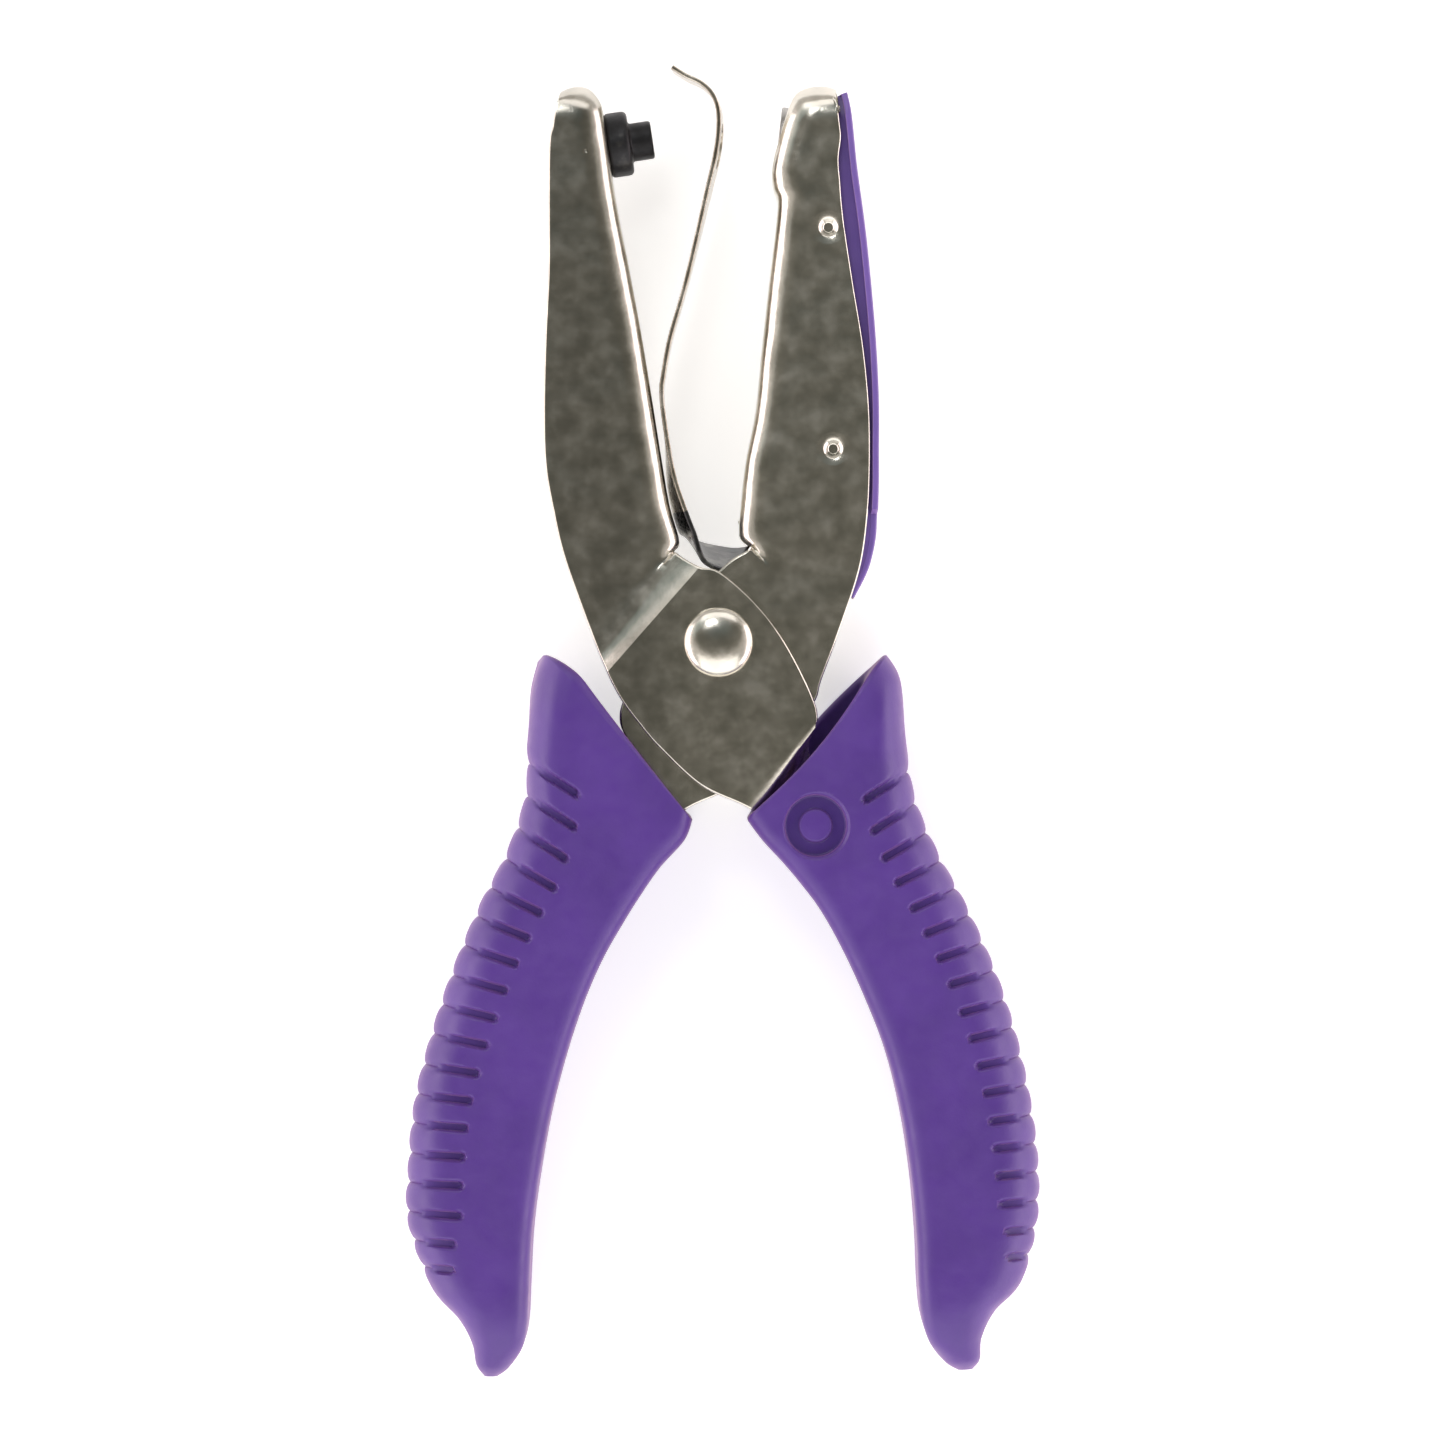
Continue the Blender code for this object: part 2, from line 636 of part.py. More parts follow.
def grip_rings(stations, spacing, inner_r, outer_r, slant):
    """Rings along a grip. Only the first ones, at the mouth, slant from front to rear."""
    rings = []
    for (inner, outer), i, t in smooth_rows([row[:2] for row in stations], spacing):
        half = stations[i][2] + (stations[i + 1][2] - stations[i][2]) * t
        fade = max(0.0, 1 - (i + t) / 2)
        rings.append(rounded_ring(inner, outer, half, inner_r, outer_r, slant * fade))
    return rings


def grip_hollow():
    """The hollow of the right grip: its mouth, then the handle with a gap all round."""
    rows = list(MOUTH_HOLLOW)
    for edge, web, _ in HANDLE:
        edge = Vector(edge)
        web = Vector(web)
        spare = (web - edge).normalized() * HOLLOW_GAP
        rows.append((tuple(edge - spare), tuple(web + spare), HALF_IN + HOLLOW_GAP))
    edge, web, half = rows[-1]
    rows.append(((edge[0], edge[1] - 1.0), (web[0], web[1] - 1.0), half))
    return rows[: len(MOUTH_HOLLOW)] + rows[len(MOUTH_HOLLOW) + 1 :]


def make_grip(name, stations, hollow, slant):
    """A sleeve: the outer rings run from the tail to the mouth and then back down inside."""
    outside = grip_rings(stations, 8.0, 3.0, 5.5, slant)
    inside = grip_rings(hollow, LEVER_SPACING, 1.0, 1.0, slant)
    bm = bmesh.new()
    loft(bm, list(reversed(outside)) + inside)
    add_object(name, bm, PURPLE)


def main():
    clear_scene()
    make_punch_lever()
    make_die_lever()
    make_die_button()
    make_punch()
    make_rivet()
    make_bush()
    make_stripper()
    make_return_spring()
    make_catcher()
    make_grip("right_grip", RIGHT_GRIP, grip_hollow(), MOUTH_SLANT)
    make_grip("left_grip", LEFT_GRIP, mirrored(grip_hollow()), -MOUTH_SLANT)


main()
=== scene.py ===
"""Looks of a single-hole hand punch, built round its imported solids.

Outlines are in millimetres from the pivot, as in the solids, and each finished piece is placed in
the row frame in metres, +Z up.
"""

import json
import math

import bmesh
import bpy
from mathutils import Matrix, Vector
from mathutils.bvhtree import BVHTree


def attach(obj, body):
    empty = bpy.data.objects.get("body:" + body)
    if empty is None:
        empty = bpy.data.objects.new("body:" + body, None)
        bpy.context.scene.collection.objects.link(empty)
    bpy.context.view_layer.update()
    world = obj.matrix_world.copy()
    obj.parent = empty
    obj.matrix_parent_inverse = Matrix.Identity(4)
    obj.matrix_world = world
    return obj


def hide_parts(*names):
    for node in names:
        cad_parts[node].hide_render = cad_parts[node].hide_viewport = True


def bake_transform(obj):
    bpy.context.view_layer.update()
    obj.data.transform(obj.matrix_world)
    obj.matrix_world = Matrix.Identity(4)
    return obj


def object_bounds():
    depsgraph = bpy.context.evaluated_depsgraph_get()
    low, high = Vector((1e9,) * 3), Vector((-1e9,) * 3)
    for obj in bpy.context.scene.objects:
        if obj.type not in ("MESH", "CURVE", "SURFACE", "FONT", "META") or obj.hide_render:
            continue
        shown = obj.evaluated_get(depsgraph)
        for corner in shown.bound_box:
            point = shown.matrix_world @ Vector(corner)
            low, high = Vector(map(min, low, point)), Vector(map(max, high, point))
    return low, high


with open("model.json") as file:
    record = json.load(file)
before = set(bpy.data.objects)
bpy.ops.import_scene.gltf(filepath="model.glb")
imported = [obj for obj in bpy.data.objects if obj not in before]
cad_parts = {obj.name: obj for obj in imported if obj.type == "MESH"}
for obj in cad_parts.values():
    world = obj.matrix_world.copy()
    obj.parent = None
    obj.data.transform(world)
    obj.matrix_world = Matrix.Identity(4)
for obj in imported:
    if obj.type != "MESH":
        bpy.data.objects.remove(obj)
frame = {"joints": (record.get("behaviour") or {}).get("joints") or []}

MM = 0.001
CAD_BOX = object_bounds()
PIVOT = Vector(next(joint["pos_m"] for joint in frame["joints"] if joint["name"] == "squeeze"))
FLOOR_Z = CAD_BOX[0][2]

GAP = 0.3
THROUGH = 12.0

# Levers. Half widths are to the outer faces.
SHEET = 1.2
HALF_IN = 6.0
HALF_OUT = HALF_IN + GAP + SHEET
BEND_IN = 3.6
BEND_LIMIT = 0.6
BEND_DROP = 2.2
BEND_FADE = 4.0
PLATE_STEPS = 5
BEND_STEPS = 12
WEB_STEPS = 6
JOGGLE_STARTS_EARLY = 0.25
JOGGLE_POWER = 1.7
LEVER_SPACING = 0.8
RIM_BEVEL = 0.28
RIM_STEPS = 4
RIM_ANGLE = math.radians(60)
CREASE_ANGLE = 26
NOSE_FROM = 65.2
NOSE_TO = 69.9
NOSE_DROP = 0.52

# Rivet and bush.
RIVET_R = 2.5
HEAD_R = 4.3
HEAD_H = 1.9
HEAD_RIM = 0.3
HEAD_POWER = 0.9
TAIL_R = 3.7
TAIL_H = 1.0
RIVET_SEAT = HALF_OUT + 0.15
BUSH_R = 4.0

# Punch and die.
PUNCH_SEAT = (-13.9, 62.2)
PUNCH_TILT = math.radians(8.4)
CLOSE_ANGLE = math.radians(14.8)
SHANK_R = 1.5
SHANK_HEAD_R = 2.8
COLLAR_R = 4.05
COLLAR_L = 2.9
COLLAR_SEAT = 0.04
PIN_R = 2.4
PIN_END = 5.7
DIE_FACE = 5.1
DIE_R = 4.0
DIE_HOLE_R = PIN_R + 0.15
DIE_L = 2.4

# Dimples in the die lever's plates, and a small dent in the punch lever.
DIMPLES = ((13.7, 51.7), (14.3, 24.1))
DENT = (-16.56, 61.2)
DISH_R = 2.35
DISH_STEPS = 8
CAP_R = 1.4
CAP_BASE = 0.12
CAP_H = 0.68

# Chip catcher.
CATCHER_PLATE = 0.8
CATCHER_HALF = 6.0
CATCHER_WALL_HALF = HALF_IN - SHEET - GAP
CATCHER_WALL = 1.0
CATCHER_WIDE_TO = 16.3
CATCHER_STEP = 0.05
NOTCH_R = 1.8

# Spring strip.
STRIP_T = 0.6
STRIP_HALF = 4.3
STRIP_EDGE = 0.2
STRIP_HOLE_R = 2.9
STRIP_HOLE = (-0.1, 62.2)
STRIP_HOLE_TURN = math.radians(-8)

# Grips.
GRIP_HALF = 9.5
GRIP_SPACING = 0.2
INNER_R = 2.2
OUTER_R = 5.5
HOLLOW_SPACING = 2.0
HOLLOW_R = 1.0
CROWN = 0.15
RIGHT_SLANT = 1.25
LEFT_SLANT = 1.6
LIP = 0.45
LIP_STEPS = 6
GROOVES = 18
GROOVE_HALF = 0.36
GROOVE_EASE = 0.3
GROOVE_DEPTH = 0.95
GROOVE_RUN = 4.0
GROOVE_FALL = 2.6
GROOVE_TILT = math.radians(33)
RIB_DEPTH = 0.62
RIB_HALF = 1.8
RIB_ROUND = 0.98
RIB_FROM = 0.25
RIB_RUN = 0.6
RIBS_PAST = 2.2
RIBS_FADE = 1.5
BADGE = (12.06, -22.8)
BADGE_R = 4.3
BADGE_FLOOR = 8.2
BADGE_DISC = BADGE_FLOOR + 0.45
BADGE_RIM = 9.15
BADGE_TOP = 11.0
BADGE_DEPTH = 0.3

# Stations of the levers: (open edge point, web edge point, half width, has a web).
PUNCH_JAW = (
    ((-20.4, 66.2), (-19.9, 68.7), HALF_IN, True),
    ((-20.45, 65.9), (-18.2, 69.4), HALF_IN, True),
    ((-20.5, 65.5), (-16.3, 69.2), HALF_IN, True),
    ((-20.6, 65.0), (-14.9, 67.7), HALF_IN, True),
    ((-20.7, 64.2), (-14.4, 66.2), HALF_IN, True),
    ((-21.1, 62.2), (-13.9, 62.8), HALF_IN, True),
    ((-21.2, 55.3), (-12.8, 55.3), HALF_IN, True),
    ((-21.2, 46.6), (-11.1, 46.6), HALF_IN, True),
    ((-21.6, 37.8), (-9.6, 38.4), HALF_IN, True),
    ((-21.8, 29.1), (-8.1, 29.1), HALF_IN, True),
    ((-21.6, 22.2), (-7.1, 22.8), HALF_IN, True),
    ((-20.6, 16.3), (-6.2, 17.4), HALF_IN, True),
    ((-19.1, 10.1), (-4.9, 12.7), HALF_IN, True),
    ((-15.3, -0.4), (-5.4, 11.3), HALF_IN, False),
    ((-13.9, -3.8), (-2.3, 9.4), HALF_OUT, False),
)
DIE_JAW = (
    ((14.9, 66.2), (14.8, 69.0), HALF_IN, True),
    ((15.0, 65.9), (13.3, 69.5), HALF_IN, True),
    ((15.05, 65.5), (11.2, 69.3), HALF_IN, True),
    ((15.1, 65.0), (9.6, 68.4), HALF_IN, True),
    ((15.2, 64.2), (8.6, 66.3), HALF_IN, True),
    ((15.3, 62.8), (7.45, 62.6), HALF_IN, True),
    ((15.0, 60.1), (6.7, 59.1), HALF_IN, True),
    ((15.2, 57.4), (6.9, 56.6), HALF_IN, True),
    ((15.4, 54.7), (7.4, 55.1), HALF_IN, True),
    ((15.8, 51.3), (7.1, 51.3), HALF_IN, True),
    ((16.8, 44.7), (6.3, 44.7), HALF_IN, True),
    ((18.1, 36.6), (5.4, 36.6), HALF_IN, True),
    ((18.8, 29.1), (4.6, 28.8), HALF_IN, True),
    ((18.9, 22.2), (3.4, 22.6), HALF_IN, True),
    ((18.6, 15.9), (2.8, 17.4), HALF_IN, True),
    ((17.6, 9.1), (2.6, 13.4), HALF_IN, True),
    ((14.9, 0.9), (3.9, 11.8), HALF_IN, False),
    ((12.8, -4.8), (1.8, 10.4), HALF_IN, False),
)
CROSSING = (
    ((-12.1, -7.2), (0.2, 8.7)),
    ((-9.8, -10.3), (4.6, 4.8)),
    ((-7.3, -13.2), (8.3, -0.1)),
    ((-2.3, -17.8), (11.7, -6.8)),
    ((3.4, -20.5), (12.3, -9.9)),
)
HANDLE = (
    ((6.9, -22.9), (11.3, -13.2), False),
    ((9.6, -25.8), (12.9, -17.8), True),
    ((13.8, -31.9), (18.6, -25.9), True),
    ((17.2, -38.2), (23.4, -34.8), True),
    ((20.1, -45.3), (27.2, -42.7), True),
    ((22.9, -53.4), (30.4, -51.6), True),
    ((24.6, -60.9), (32.3, -59.9), True),
    ((25.6, -68.4), (33.0, -68.2), True),
    ((26.1, -75.3), (31.9, -75.9), True),
)

# Chip catcher: (open edge of its side walls, outer face) from the tip down to the finger tab.
CATCHER = (
    ((14.9, 68.2), (16.05, 68.6)),
    ((13.5, 65.4), (16.5, 66.5)),
    ((12.9, 64.0), (16.8, 64.1)),
    ((12.8, 59.1), (17.3, 59.1)),
    ((12.9, 51.7), (18.3, 51.7)),
    ((12.9, 44.0), (19.1, 44.0)),
    ((13.3, 36.6), (19.7, 36.6)),
    ((13.5, 30.0), (20.0, 30.0)),
    ((13.5, 24.1), (20.0, 24.1)),
    ((13.7, 20.0), (20.0, 20.0)),
    ((14.0, 16.2), (19.9, 16.6)),
    ((14.2, 16.0), (19.8, 16.0)),
    ((14.6, 12.6), (19.6, 12.8)),
    ((15.2, 9.2), (18.7, 9.1)),
    ((15.3, 6.6), (16.9, 5.5)),
)

# Grips: (inner edge, outer edge, half thickness) from the mouth to the tail.
RIGHT_GRIP = (
    ((3.4, -21.9), (20.7, -1.2), 8.9),
    ((5.4, -24.6), (22.7, -4.7), 9.3),
    ((7.8, -27.2), (23.4, -12.2), GRIP_HALF),
    ((10.1, -29.9), (24.6, -19.3), GRIP_HALF),
    ((12.7, -33.4), (27.3, -25.9), GRIP_HALF),
    ((15.6, -38.6), (30.7, -32.2), GRIP_HALF),
    ((18.4, -44.7), (34.2, -39.9), GRIP_HALF),
    ((20.9, -51.2), (36.8, -47.4), GRIP_HALF),
    ((22.7, -58.4), (38.8, -55.9), GRIP_HALF),
    ((23.9, -65.9), (39.95, -64.7), GRIP_HALF),
    ((24.6, -73.4), (39.8, -72.4), GRIP_HALF),
    ((24.9, -80.3), (37.8, -79.7), GRIP_HALF),
    ((25.3, -84.1), (34.4, -83.4), 9.2),
    ((26.3, -87.2), (32.8, -86.7), 8.2),
    ((28.2, -89.7), (32.6, -89.4), 6.4),
    ((29.9, -90.8), (31.7, -90.7), 4.4),
)
LEFT_GRIP = (
    ((-3.2, -21.9), (-22.2, -1.6), 8.9),
    ((-4.2, -24.6), (-23.4, -5.9), 9.3),
    ((-7.3, -28.1), (-23.9, -12.8), GRIP_HALF),
    ((-9.8, -31.7), (-24.2, -19.1), GRIP_HALF),
    ((-11.8, -34.9), (-26.4, -25.9), GRIP_HALF),
    ((-14.3, -39.3), (-29.7, -32.4), GRIP_HALF),
    ((-16.7, -44.7), (-32.9, -39.9), GRIP_HALF),
    ((-18.9, -51.2), (-35.6, -47.8), GRIP_HALF),
    ((-20.8, -58.4), (-37.9, -56.6), GRIP_HALF),
    ((-22.2, -65.9), (-38.8, -65.3), GRIP_HALF),
    ((-23.2, -73.4), (-38.8, -72.4), GRIP_HALF),
    ((-23.6, -80.9), (-35.9, -80.3), GRIP_HALF),
    ((-23.8, -84.9), (-32.3, -84.4), 9.2),
    ((-24.4, -87.8), (-30.7, -87.4), 8.2),
    ((-26.1, -90.4), (-30.2, -90.1), 6.4),
    ((-27.6, -91.6), (-29.2, -91.6), 4.4),
)
MOUTH_HOLLOW = (
    ((4.3, -21.2), (18.1, -4.7), 7.85),
    ((5.2, -22.4), (16.9, -8.5), 7.7),
    ((6.5, -23.5), (14.0, -13.0), 7.1),
)
HOLLOW_GAP = GAP + 0.1

# Grooves: distance of groove i along the outer edge, and how far it reaches in from that edge.
RIGHT_GROOVES = {"start": 15.5, "pitch": 4.0, "shrink": 0.0155, "reach": (6.5, -0.1), "last": (2.4, 1.1)}
LEFT_GROOVES = {"start": 13.5, "pitch": 4.2, "shrink": 0.0189, "reach": (7.3, -0.04), "last": (3.6, 1.6)}

# Strip: centre lines of the blade above the kink, and of the spring below it, which runs down the
# punch lever's web, turns at the throat's bottom and ends inside the die lever's channel.
BLADE = (
    (-7.0, 32.7),
    (-6.1, 37.8),
    (-4.3, 44.1),
    (-2.8, 50.3),
    (-1.4, 56.6),
    (-0.4, 60.9),
    (0.0, 64.1),
    (-0.1, 66.7),
    (-0.9, 68.6),
    (-2.3, 69.9),
    (-4.1, 70.75),
    (-5.8, 71.8),
)
UPPER_LEG = ((-4.1, 16.4), (-5.5, 20.6), (-6.4, 25.3), (-7.0, 29.6), (-7.1, 31.8))
LOWER_LEG = ((-4.1, 16.38), (-2.9, 13.4))
SPRING_TURN = ((-1.6, 11.4), (0.4, 10.5), (2.6, 10.3), (4.8, 10.9))
DIE_LEG = ((6.2, 12.4), (6.8, 15.0))

# How the strip leans: how far, where that begins and how long it takes.
TURN_LEAN = 0.34
TURN_TOP = 14.0
TURN_RUN = 2.5
LEG_LEAN = 1.6
LEG_TOP = 27.0
LEG_RUN = 13.0
LEG_SIDE = 1.0
LEG_SIDE_RUN = 3.0
BLADE_LEAN = 0.35
BLADE_LOW = 42.0
BLADE_RUN = 18.0


# ---------------------------------------------------------------- shapes


def catmull_rom(p0, p1, p2, p3, t):
    return 0.5 * (
        2 * p1 + (p2 - p0) * t + (2 * p0 - 5 * p1 + 4 * p2 - p3) * t**2 + (3 * p1 - p0 - 3 * p2 + p3) * t**3
    )


def smooth_rows(rows, spacing):
    """Rows of 2-D points joined by smooth curves, as (row, station index, fraction)."""
    points = [[Vector(point) for point in row] for row in rows]
    last = len(points) - 1
    result = []
    for i in range(last):
        before = points[max(i - 1, 0)]
        after = points[min(i + 2, last)]
        reach = max((b - a).length for a, b in zip(points[i], points[i + 1]))
        steps = max(1, math.ceil(reach / spacing))
        for step in range(steps):
            t = step / steps
            row = [
                catmull_rom(before[k], points[i][k], points[i + 1][k], after[k], t)
                for k in range(len(points[i]))
            ]
            result.append((row, i, t))
    result.append((points[last], last - 1, 1.0))
    return result


def ease(t):
    t = min(max(t, 0.0), 1.0)
    return t * t * (3 - 2 * t)


def mirrored(rows):
    """The same rows on the other side: the first coordinate of each row's two points changes sign."""
    return [((-a[0], a[1]), (-b[0], b[1]), *rest) for a, b, *rest in rows]


def rounded(corners, closed, steps=4):
    """A 2-D outline through (x, y, radius) corners, each with its edge rounded off."""
    count = len(corners)
    outline = []
    for i, (x, y, radius) in enumerate(corners):
        corner = Vector((x, y))
        if radius == 0.0 or (not closed and i in (0, count - 1)):
            outline.append(corner)
            continue
        before = Vector(corners[i - 1][:2]) - corner
        after = Vector(corners[(i + 1) % count][:2]) - corner
        reach = min(radius, 0.45 * before.length, 0.45 * after.length)
        start = corner + before.normalized() * reach
        end = corner + after.normalized() * reach
        for step in range(steps + 1):
            t = step / steps
            outline.append(start * (1 - t) ** 2 + corner * 2 * t * (1 - t) + end * t**2)
    return outline


def add_piece(name, bm, recalc=True):
    """An object from a bmesh in millimetres from the pivot."""
    bmesh.ops.scale(bm, verts=bm.verts, vec=(MM, MM, MM))
    bmesh.ops.translate(bm, verts=bm.verts, vec=PIVOT)
    if recalc:
        bmesh.ops.recalc_face_normals(bm, faces=bm.faces)
    mesh = bpy.data.meshes.new(name)
    bm.to_mesh(mesh)
    bm.free()
    obj = bpy.data.objects.new(name, mesh)
    bpy.context.scene.collection.objects.link(obj)
    return obj


def apply_modifiers(obj):
    graph = bpy.context.evaluated_depsgraph_get()
    mesh = bpy.data.meshes.new_from_object(obj.evaluated_get(graph), depsgraph=graph)
    obj.modifiers.clear()
    obj.data = mesh


def cut(obj, bm, operation="DIFFERENCE"):
    """Cuts a shape, given in millimetres from the pivot, from the piece, or joins it on."""
    tool = add_piece("tool", bm)
    modifier = obj.modifiers.new("Cut", "BOOLEAN")
    modifier.operation = operation
    modifier.solver = "EXACT"
    modifier.object = tool
    apply_modifiers(obj)
    bpy.data.objects.remove(tool, do_unlink=True)


def smooth_shading(obj, angle=35):
    """Smooth shading with sharp edges kept, in which the large faces set the normals."""
    obj.data.shade_smooth()
    obj.data.set_sharp_from_angle(angle=math.radians(angle))
    weighted = obj.modifiers.new("Normals", "WEIGHTED_NORMAL")
    weighted.keep_sharp = True


def turned(profile, segments=64, closed=False):
    """A turned solid about local Z from (radius, height) points. A radius of 0 makes a pole."""
    bm = bmesh.new()
    rings = []
    for radius, height in profile:
        if radius < 1e-6:
            rings.append([bm.verts.new((0.0, 0.0, height))])
            continue
        turn = [2 * math.pi * i / segments for i in range(segments)]
        rings.append([bm.verts.new((radius * math.cos(a), radius * math.sin(a), height)) for a in turn])
    pairs = list(zip(rings, rings[1:]))
    if closed:
        pairs.append((rings[-1], rings[0]))
    for lower, upper in pairs:
        for i in range(segments):
            j = (i + 1) % segments
            corners = [lower[i % len(lower)], lower[j % len(lower)]]
            corners += [upper[j % len(upper)], upper[i % len(upper)]]
            bm.faces.new(list(dict.fromkeys(corners)))
    return bm


def aim(bm, point, angle):
    """Turns local Z to a direction in the XY plane and moves local zero to the point."""
    turn = Matrix.Rotation(angle, 4, "Z") @ Matrix.Rotation(math.pi / 2, 4, "Y")
    bmesh.ops.transform(bm, matrix=Matrix.Translation((point[0], point[1], 0.0)) @ turn, verts=bm.verts)
    return bm


def cylinder(radius, low, high, center=(0.0, 0.0), segments=64):
    bm = turned(((0.0, low), (radius, low), (radius, high), (0.0, high)), segments)
    bmesh.ops.translate(bm, verts=bm.verts, vec=(center[0], center[1], 0.0))
    return bm


def loft(rings, caps=True):
    """Quads between neighbouring rings of the same count, with flat ends."""
    bm = bmesh.new()
    made = [[bm.verts.new(point) for point in ring] for ring in rings]
    count = len(made[0])
    for a, b in zip(made, made[1:]):
        for j in range(count):
            k = (j + 1) % count
            bm.faces.new((a[j], b[j], b[k], a[k]))
    if caps:
        ends = [bm.faces.new(list(reversed(made[0]))), bm.faces.new(made[-1])]
        bmesh.ops.triangulate(bm, faces=ends, ngon_method="EAR_CLIP")
    return bm


def finish_piece(obj, body, slot, material, *nodes):
    """Gives the piece its finish, hides the solids it stands for and puts it on its body, if any."""
    obj.data.materials.clear()
    obj.data.materials.append(material)
    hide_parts(*nodes)
    if body:
        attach(obj, body)


# ---------------------------------------------------------------- levers


def nose(y):
    """How much of its width a channel keeps at this height, where the jaw's tip rounds off."""
    u = min(max((y - NOSE_FROM) / (NOSE_TO - NOSE_FROM), 0.0), 1.0)
    return 1 - NOSE_DROP * (1 - math.sqrt(1 - u * u))


def channel_section(edge, web, half, bend):
    """The outer surface of a channel from its front open edge round the web to its rear open edge."""
    across = web - edge
    inset = min(BEND_IN, BEND_LIMIT * across.length)
    tangent = web - across.normalized() * inset
    front = [(edge.lerp(tangent, i / PLATE_STEPS), half) for i in range(PLATE_STEPS + 1)]
    for i in range(1, BEND_STEPS + 1):
        turn = math.pi / 2 * i / BEND_STEPS
        along = (1 - bend) * i / BEND_STEPS + bend * math.sin(turn)
        front.append((tangent.lerp(web, along), half - BEND_DROP * bend * (1 - math.cos(turn))))
    last = front[-1][1]
    middle = [(web, last - 2 * last * i / WEB_STEPS) for i in range(1, WEB_STEPS)]
    rear = [(point, -z) for point, z in reversed(front)]
    return [Vector((point.x, point.y, z * nose(point.y))) for point, z in front + middle + rear]


def bend_share(stations, i, t):
    """1 where the channel has its web, fading to 0 along the plates beyond it."""
    here = stations[i][3]
    there = stations[i + 1][3]
    if here and there:
        return 1.0
    reach = (Vector(stations[i + 1][1]) - Vector(stations[i][1])).length
    if here:
        return 1 - ease(t * reach / BEND_FADE)
    if there:
        return 1 - ease((1 - t) * reach / BEND_FADE)
    return 0.0


def has_web(stations, i, t):
    """Whether the web is there at a fraction of the way from station i to the next."""
    here = stations[i][3]
    there = stations[i + 1][3]
    if t == 0.0:
        return here
    if t == 1.0:
        return there
    return here and there


def half_width(stations, i, t):
    """The half width between two stations. A plate steps outwards in a curve that ends at a crease."""
    here = stations[i][2]
    there = stations[i + 1][2]
    if there > here:
        start = JOGGLE_STARTS_EARLY
        return here + (there - here) * ((t + start) / (1 + start)) ** JOGGLE_POWER
    if i + 2 < len(stations) and stations[i + 2][2] > there:
        start = JOGGLE_STARTS_EARLY
        late = max(t - 1 + start, 0.0)
        return here + (stations[i + 2][2] - here) * (late / (1 + start)) ** JOGGLE_POWER
    return here + (there - here) * ease(t)


def channel(stations, flip):
    """An open sheet surface for a lever: two side plates, and a web where the stations have one."""
    bm = bmesh.new()
    rows = []
    for (edge, web), i, t in smooth_rows([station[:2] for station in stations], LEVER_SPACING):
        section = channel_section(edge, web, half_width(stations, i, t), bend_share(stations, i, t))
        rows.append(([bm.verts.new(point) for point in section], has_web(stations, i, t)))
    side = PLATE_STEPS + BEND_STEPS
    for (row_a, web_a), (row_b, web_b) in zip(rows, rows[1:]):
        for j in range(len(row_a) - 1):
            if side <= j < side + WEB_STEPS and not (web_a and web_b):
                continue
            quad = (row_a[j], row_b[j], row_b[j + 1], row_a[j + 1])
            bm.faces.new(tuple(reversed(quad)) if flip else quad)
    return bm


def hold_to(surface, obj, reach):
    """Puts back each vertex that a bevel has thrown further than its own width off the surface."""
    for vertex in obj.data.vertices:
        point, _, _, distance = surface.find_nearest(vertex.co)
        if distance > reach:
            vertex.co = point


def make_lever(name, stations, flip):
    """A pressed sheet lever with rounded rims and the rivet's hole."""
    lever = add_piece(name, channel(stations, flip), recalc=False)
    sheet = lever.modifiers.new("Sheet", "SOLIDIFY")
    sheet.thickness = SHEET * MM
    sheet.offset = -1.0
    sheet.use_even_offset = False
    apply_modifiers(lever)
    corners = [vertex.co for vertex in lever.data.vertices]
    surface = BVHTree.FromPolygons(corners, [polygon.vertices for polygon in lever.data.polygons])
    rim = lever.modifiers.new("Rim", "BEVEL")
    rim.limit_method = "ANGLE"
    rim.angle_limit = RIM_ANGLE
    rim.width = RIM_BEVEL * MM
    rim.segments = RIM_STEPS
    rim.use_clamp_overlap = False
    apply_modifiers(lever)
    hold_to(surface, lever, RIM_BEVEL * MM)
    cut(lever, cylinder(RIVET_R + GAP, -THROUGH, THROUGH))
    return lever


def make_punch_lever(steel):
    crossing = [(*row, HALF_OUT, False) for row in CROSSING]
    handle = [(edge, web, HALF_IN, webbed) for edge, web, webbed in HANDLE]
    lever = make_lever("punch_lever_plated", list(PUNCH_JAW) + crossing + handle, flip=False)
    cut(lever, aim(cylinder(SHANK_R + GAP, -3.0, 1.5), PUNCH_SEAT, PUNCH_TILT))
    profile = ((0.0, -0.25), (0.2, -0.2), (0.38, 0.1), (0.0, 0.1))
    dent = turned([(radius, HALF_IN + height) for radius, height in profile], 24)
    bmesh.ops.translate(dent, verts=dent.verts, vec=(*DENT, 0.0))
    cut(lever, dent)
    smooth_shading(lever, CREASE_ANGLE)
    finish_piece(lever, "punch_side", "plated_steel", steel, "punch_lever")


def at_dimples(profile, side):
    """A turned shape at every dimple, on the front plate (side 1) or on the rear one (side -1)."""
    merged = bmesh.new()
    for x, y in DIMPLES:
        shape = turned(profile, 48)
        bmesh.ops.translate(shape, verts=shape.verts, vec=(x, y, 0.0))
        bmesh.ops.scale(shape, verts=shape.verts, vec=(1.0, 1.0, side))
        mesh = bpy.data.meshes.new("part")
        shape.to_mesh(mesh)
        shape.free()
        merged.from_mesh(mesh)
        bpy.data.meshes.remove(mesh)
    return merged


